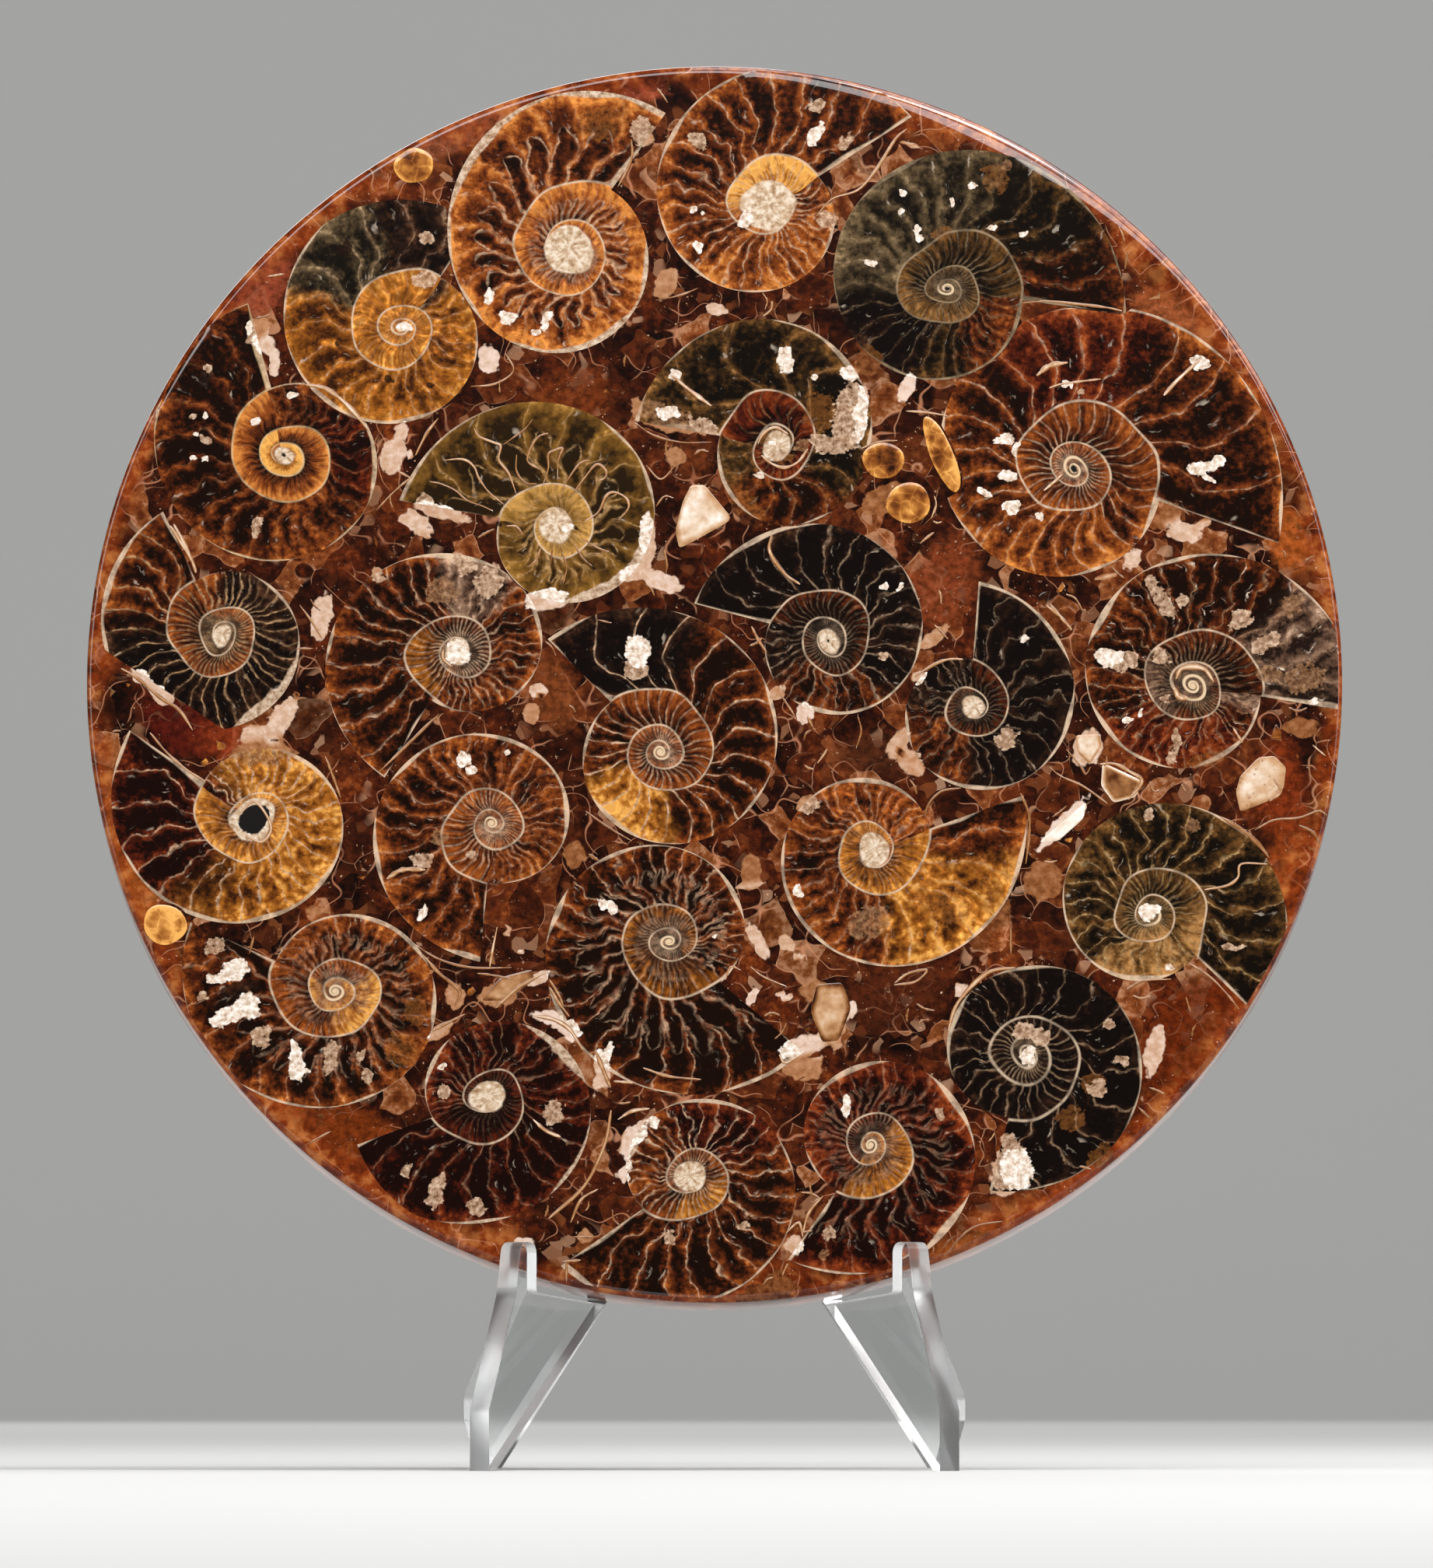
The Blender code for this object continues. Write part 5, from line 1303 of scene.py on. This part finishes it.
def ragged_oval(x, y, half_length, half_width, turn, draw, rough=0.05, count=32):
    """An oval with an uneven edge."""
    steps = np.linspace(0, math.tau, count, endpoint=False)
    reach = np.ones(count)
    for waves in (2, 3, 5):
        swing = rough * draw.uniform(0.3, 1.0) / waves ** 0.5
        reach += swing * np.sin(waves * steps + draw.uniform(0, math.tau))
    flat = np.column_stack((np.cos(steps) * half_length * reach, np.sin(steps) * half_width * reach))
    return spun(flat, math.radians(turn)) + (x, y)


def shard(x, y, size, draw):
    """An angular fragment."""
    count = draw.integers(4, 7)
    even = np.linspace(0, math.tau, count, endpoint=False)
    steps = np.sort(draw.uniform(0, math.tau, count) * 0.35 + even)
    reach = size * draw.uniform(0.55, 1.0, count)
    stretch = draw.uniform(0.35, 1.0)
    turned = draw.uniform(0, math.pi)
    flat = np.column_stack((np.cos(steps) * reach, np.sin(steps) * reach * stretch))
    return spun(flat, turned) + (x, y)


def inside_outline(places, outline):
    """Which places lie inside a closed outline."""
    x, y = places[:, :1], places[:, 1:2]
    ax, ay = outline.T
    bx, by = np.roll(outline, -1, axis=0).T
    rise = np.where(by == ay, 1.0, by - ay)
    crosses = (ay > y) != (by > y)
    left = x < ax + (bx - ax) / rise * (y - ay)
    return (crosses & left).sum(axis=1) % 2 == 1


def oval_distance(places, x, y, half_length, half_width, turn):
    """Distance from an oval's middle as a share of its reach: 1 on the oval itself."""
    turned = direction(turn)
    away = places - (x, y)
    along = away @ turned / half_length
    across = away @ np.array((-turned[1], turned[0])) / half_width
    return np.hypot(along, across)


def matrix_fields(places):
    """What the coloured places and loose spots of the matrix come to at each point."""
    share = np.zeros(len(places))
    colour = np.zeros((len(places), 3))
    for x, y, half_length, half_width, turn, strength, tint in PATCHES:
        near = np.clip(1.5 - oval_distance(places, x, y, half_length, half_width, turn), 0, 1)
        near = near * strength
        pull = near / np.maximum(share, near + 1e-6)
        colour = colour + (np.array(tone(*tint)[:3]) - colour) * pull[:, None]
        share = np.maximum(share, near)
    cover = np.zeros(len(places))
    shade = np.zeros(len(places))
    for tint, x, y, half_length, half_width, turn in BLOBS:
        near = np.clip(1.6 - oval_distance(places, x, y, half_length, half_width, turn), 0, 1)
        shade = np.where(near > cover, tint, shade)
        cover = np.maximum(cover, near)
    fields = {"patch": share, "cover": cover, "shade": shade}
    fields.update(zip(("patch_red", "patch_green", "patch_blue"), colour.T))
    return fields


# ---------------------------------------------------------------------------
# Settings and operators
# ---------------------------------------------------------------------------

class FossilDiscSettings(bpy.types.PropertyGroup):
    """Sizes and colours that somebody may want to change."""

    rim_width: bpy.props.FloatProperty(
        name="Rim width", description="Width of the rounded edge, in millimetres", default=0.9, min=0.2)
    worn_extra: bpy.props.FloatProperty(
        name="Worn extra", description="How much wider the edge is where it is worn, in millimetres",
        default=1.3)
    worn_angle: bpy.props.FloatProperty(
        name="Worn angle", description="Where the edge is worn, in degrees from the right", default=62.0)
    rim_colour: bpy.props.FloatVectorProperty(
        name="Rim colour", description="Clear resin by the rim", subtype="COLOR",
        default=tone(140, 62, 22)[:3])
    acrylic_colour: bpy.props.FloatVectorProperty(
        name="Acrylic colour", description="Tint of the easel", subtype="COLOR",
        default=(0.97, 0.985, 0.985))
    floor_colour: bpy.props.FloatVectorProperty(
        name="Floor colour", description="Colour of the paper", subtype="COLOR",
        default=(0.54, 0.54, 0.53))
    camera_distance: bpy.props.FloatProperty(
        name="Camera distance", description="From the disc to the lens", unit="LENGTH", default=2.2)
    camera_height: bpy.props.FloatProperty(
        name="Camera height", description="Of the lens above the floor", unit="LENGTH", default=0.012)


def settings():
    """The scene's values."""
    return bpy.context.scene.fossil_disc


class FOSSIL_OT_body(bpy.types.Operator):
    """Make the resin slab"""

    bl_idname = "fossil.add_body"
    bl_label = "Resin slab"

    def execute(self, context):
        place_piece(disc_mesh(matrix_material()), "matrix")
        return {"FINISHED"}


class FOSSIL_OT_ammonites(bpy.types.Operator):
    """Make the sliced ammonites"""

    bl_idname = "fossil.add_ammonites"
    bl_label = "Ammonites"

    def execute(self, context):
        for number, (shell, outline) in enumerate(zip(SHELLS, shell_outlines()), 1):
            node = f"ammonite_{number:02d}"
            centre, rays, reach = outline
            blobs = [blob for blob in BLOBS if touches(blob, centre + rays * reach[:, None])]
            material = ammonite_material(f"sliced_{node}", shell, blobs)
            item = shell_mesh(f"sliced_{node}", shell, outline, material)
            place_piece(item, node)
        return {"FINISHED"}


def loose_outlines():
    """Outlines of the chips and pebbles, a little wider than they are."""
    outlines = [np.array(corners) for _shade, corners in CHIPS]
    turns = np.linspace(0, 360, 24, endpoint=False)
    for _shade, x, y, half_length, half_width, turn in PEBBLES:
        spin = np.array((direction(turn), direction(turn + 90)))
        reach = (half_length * PEBBLE_KEEP, half_width * PEBBLE_KEEP)
        outlines.append(direction(turns) * reach @ spin + (x, y))
    return outlines


def shell_outlines():
    """Centre, rays and reach of every ammonite. Chips and earlier ammonites keep their space."""
    outlines, found = loose_outlines(), []
    for shell in SHELLS:
        centre, rays, reach = shell_outline(shell, outlines)
        outlines.append(centre + rays * reach[:, None])
        found.append((centre, rays, reach))
    return found


def touches(blob, outline):
    """Whether the middle or an end of a spot's oval lies inside an outline."""
    _shade, x, y, half_length, half_width, turn = blob
    turned = direction(turn)
    across = np.array((-turned[1], turned[0]))
    middle = np.array((x, y))
    ends = [middle + turned * half_length * sign for sign in (-1, 0, 1)]
    ends += [middle + across * half_width * sign for sign in (-1, 1)]
    return bool(inside_outline(np.array(ends), outline).any())


class FOSSIL_OT_chips(bpy.types.Operator):
    """Make the larger chips of shell and the amber pebbles"""

    bl_idname = "fossil.add_chips"
    bl_label = "Chips and pebbles"

    def execute(self, context):
        draw = np.random.default_rng(11)
        chalk = shell_material("chip_shell")
        resin = shell_material("pebble_amber", amber=True)
        for number, (shade, corners) in enumerate(CHIPS, 1):
            batch = Batch()
            batch.plug(rounded(corners), shade, lift=PROUD, depth=CHIP_DEPTH, shrink=CHIP_BACK,
                       specks=0.9 if number == SPECKLED_CHIP else 0.25, edge=shade + CHIP_EDGES[number - 1])
            place_piece(batch.finish(f"chip_{number}", chalk), f"shell_chip_{number}")
        for number, (shade, x, y, half_length, half_width, turn) in enumerate(PEBBLES, 1):
            batch = Batch()
            outline = ragged_oval(x, y, half_length, half_width, turn, draw)
            batch.plug(outline, shade, lift=PROUD, depth=CHIP_DEPTH, shrink=CHIP_BACK, edge=shade + 0.25)
            place_piece(batch.finish(f"pebble_{number}", resin), f"amber_pebble_{number}")
        return {"FINISHED"}


class FOSSIL_OT_calcite(bpy.types.Operator):
    """Draw the lines of calcite on the face"""

    bl_idname = "fossil.add_calcite"
    bl_label = "Calcite"

    def execute(self, context):
        draw = np.random.default_rng(5)
        chalk = shell_material("calcite")
        lines = Batch()
        for shade, width, *numbers in VEINS:
            lines.ribbon(np.array(numbers).reshape(-1, 2), width, shade, draw)
        place_piece(lines.finish("calcite_lines", chalk))
        return {"FINISHED"}


class FOSSIL_OT_crumbs(bpy.types.Operator):
    """Fill the free matrix with crumbs, shards and slivers"""

    bl_idname = "fossil.add_crumbs"
    bl_label = "Crumbs"

    def execute(self, context):
        draw = np.random.default_rng(3)
        places = draw.uniform(-RADIUS, RADIUS, (CRUMB_TRIES, 2))
        places = places[np.hypot(*places.T) < RADIUS - CRUMB_RIM]
        for centre, rays, reach in shell_outlines():
            places = places[~inside_outline(places, centre + rays * (reach + CRUMB_KEEP)[:, None])]
        for outline in loose_outlines():
            places = places[~inside_outline(places, outline)]
        chalk = shell_material("crumb_shell")
        resin = shell_material("crumb_amber", amber=True)
        pale, golden = Batch(), Batch()
        for index, (x, y) in enumerate(places[:CRUMBS]):
            size = 0.2 + 0.8 * draw.random() ** 3
            if index % 6 == 0:
                golden.plug(shard(x, y, size * 1.4, draw), draw.uniform(0.05, 0.6), lift=0.02)
            elif index % 6 == 1:
                pale.plug(shard(x, y, size, draw), draw.choice((0.1, 0.2, 0.3, 0.45, 0.7)), lift=0.025)
            elif index % 3 == 2:
                run = direction(draw.uniform(0, 360)) * draw.uniform(0.4, 1.2)
                bend = np.array((-run[1], run[0])) * draw.uniform(-0.4, 0.4)
                path = ((x, y) - run, (x, y) + bend, (x, y) + run)
                pale.ribbon(path, draw.uniform(0.2, 0.4), draw.uniform(0.35, 0.75), draw)
        place_piece(pale.finish("shell_crumbs", chalk))
        place_piece(golden.finish("amber_crumbs", resin))
        return {"FINISHED"}


def place_piece(item, node=None):
    """Let a piece ride on the body and, where it stands for a node, hide that node."""
    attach(item, BODY)
    if node:
        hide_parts(node)


def rounded(corners, steps=4):
    """The outline with its corners a little rounded."""
    corners = np.asarray(corners, dtype=float)
    result = []
    for before, here, after in zip(np.roll(corners, 1, axis=0), corners, np.roll(corners, -1, axis=0)):
        first = here + (before - here) * 0.16
        last = here + (after - here) * 0.16
        for share in np.linspace(0, 1, steps):
            result.append((1 - share) ** 2 * first + 2 * share * (1 - share) * here + share ** 2 * last)
    return np.array(result)


class FOSSIL_OT_easel(bpy.types.Operator):
    """Give the easel plates their clear acrylic"""

    bl_idname = "fossil.dress_easel"
    bl_label = "Easel"

    def execute(self, context):
        for node in ("stand_plate_1", "stand_plate_2"):
            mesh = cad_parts[node].data
            broad = max(mesh.polygons, key=lambda face: face.area).normal
            mesh.materials.clear()
            mesh.materials.append(acrylic_material(f"clear_{node}", broad))
        return {"FINISHED"}


class FOSSIL_OT_stage(bpy.types.Operator):
    """Make the floor, the backdrop, the lights and the camera"""

    bl_idname = "fossil.add_stage"
    bl_label = "Stage"

    def execute(self, context):
        values = settings()
        scene = context.scene
        sweep = backdrop_mesh(stage_material("paper", values.floor_colour))
        add_lights(scene)
        add_camera(scene, values)
        scene.view_settings.view_transform = "Standard"
        return {"FINISHED"}


# The paper, in metres: half its width, where it starts to curve up, how wide the curve is, its top
PAPER_REACH = 6.0
PAPER_START = 2.6
PAPER_BEND = 1.6
PAPER_TOP = 5.0


def backdrop_mesh(material):
    """Paper that runs forward along the floor and curves up well behind."""
    profile = [(-PAPER_REACH, 0.0), (-0.5, 0.0), (PAPER_START, 0.0)]
    for degrees in range(2, 91, 2):
        turn = math.radians(degrees)
        profile.append((PAPER_START + PAPER_BEND * math.sin(turn), PAPER_BEND * (1 - math.cos(turn))))
    profile.append((PAPER_START + PAPER_BEND, PAPER_TOP))
    points = [(side * PAPER_REACH, y, z) for y, z in profile for side in (-1, 1)]
    faces = [(2 * k, 2 * k + 1, 2 * k + 3, 2 * k + 2) for k in range(len(profile) - 1)]
    mesh = bpy.data.meshes.new("backdrop")
    mesh.from_pydata(points, [], faces)
    mesh.materials.append(material)
    mesh.shade_smooth()
    item = bpy.data.objects.new("backdrop", mesh)
    bpy.context.scene.collection.objects.link(item)
    return item


def aimed(item, target):
    """Point a light or camera at a place."""
    item.rotation_euler = (Vector(target) - item.location).to_track_quat("-Z", "Y").to_euler()


def add_lights(scene):
    """Soft boxes all round, a bright strip for the rim, one for the backdrop, and a dim room."""
    disc = (0, 0, 0.08)
    boxes = (
        ("key", (0.1, -1.5, 1.3), disc, (1.4, 0.9), 24.0),
        ("left", (-1.5, -0.7, 0.55), disc, (0.7, 1.3), 10.0),
        ("right", (1.5, -0.7, 0.6), disc, (0.7, 1.3), 8.0),
        ("edge", (0.5, 0.0, 1.1), disc, (1.2, 1.2), 17.0),
        ("glint", (0.37, -0.29, 1.1), disc, (0.5, 0.2), 4.0),
        ("back", (-0.4, 1.7, 0.9), disc, (1.0, 1.0), 7.0),
        ("backdrop", (0.0, 1.9, 1.9), (0.0, 4.2, 0.5), (2.5, 0.8), 30.0),
    )
    for name, place, target, size, power in boxes:
        light = bpy.data.lights.new(name, "AREA")
        light.shape = "RECTANGLE"
        light.size, light.size_y = size
        light.energy = power
        item = bpy.data.objects.new(name, light)
        item.location = place
        aimed(item, target)
        scene.collection.objects.link(item)
    world = bpy.data.worlds.new("room")
    world.use_nodes = True
    world.node_tree.nodes["Background"].inputs["Color"].default_value = (1.0, 0.98, 0.96, 1.0)
    world.node_tree.nodes["Background"].inputs["Strength"].default_value = 0.03
    scene.world = world


# The framing of the view: its size and centre, and where the floor and the disc's middle lie in it
PICTURE = (1843, 2016)
PIXELS_PER_MM = 10.77
PICTURE_CENTRE = (921.5, 1008.0)
FLOOR_LINE = 1889.5
DISC_LINE = 919.0
SENSOR = 36.0


def add_camera(scene, values):
    """A long lens just above the floor, straight in front."""
    lens = bpy.data.cameras.new("camera")
    camera = bpy.data.objects.new("camera", lens)
    scene.collection.objects.link(camera)
    front = MIDDLE.y
    aim = Vector((
        (PICTURE_CENTRE[0] - DISC_LINE) / PIXELS_PER_MM * MM,
        front,
        (FLOOR_LINE - PICTURE_CENTRE[1]) / PIXELS_PER_MM * MM,
    ))
    camera.location = (0.0, front - values.camera_distance, values.camera_height)
    aimed(camera, aim)
    width = PICTURE[0] / PIXELS_PER_MM * MM
    distance = (aim - camera.location).length
    height = width * PICTURE[1] / PICTURE[0]
    lens.sensor_fit = "AUTO"
    lens.sensor_width = SENSOR
    lens.lens = SENSOR * distance / max(width, height)
    lens.clip_start = 0.05
    lens.clip_end = 30.0
    scene.camera = camera


class FOSSIL_PT_panel(bpy.types.Panel):
    """Lists the pieces of the disc"""

    bl_idname = "FOSSIL_PT_panel"
    bl_label = "Ammonite Disc"
    bl_space_type = "VIEW_3D"
    bl_region_type = "UI"
    bl_category = "Fossil"

    def draw(self, context):
        for name in FossilDiscSettings.__annotations__:
            self.layout.prop(context.scene.fossil_disc, name)
        for operator in OPERATORS:
            self.layout.operator(operator.bl_idname)


OPERATORS = (
    FOSSIL_OT_body,
    FOSSIL_OT_ammonites,
    FOSSIL_OT_chips,
    FOSSIL_OT_calcite,
    FOSSIL_OT_crumbs,
    FOSSIL_OT_easel,
    FOSSIL_OT_stage,
)
CLASSES = (FossilDiscSettings, *OPERATORS, FOSSIL_PT_panel)


def register():
    for item in CLASSES:
        bpy.utils.register_class(item)
    bpy.types.Scene.fossil_disc = bpy.props.PointerProperty(type=FossilDiscSettings)


def unregister():
    del bpy.types.Scene.fossil_disc
    for item in reversed(CLASSES):
        bpy.utils.unregister_class(item)


def main():
    register()
    for operator in OPERATORS:
        group, action = operator.bl_idname.split(".")
        if "FINISHED" not in getattr(getattr(bpy.ops, group), action)():
            raise RuntimeError(f"{operator.bl_label} didn't finish")


if __name__ == "__main__":
    main()
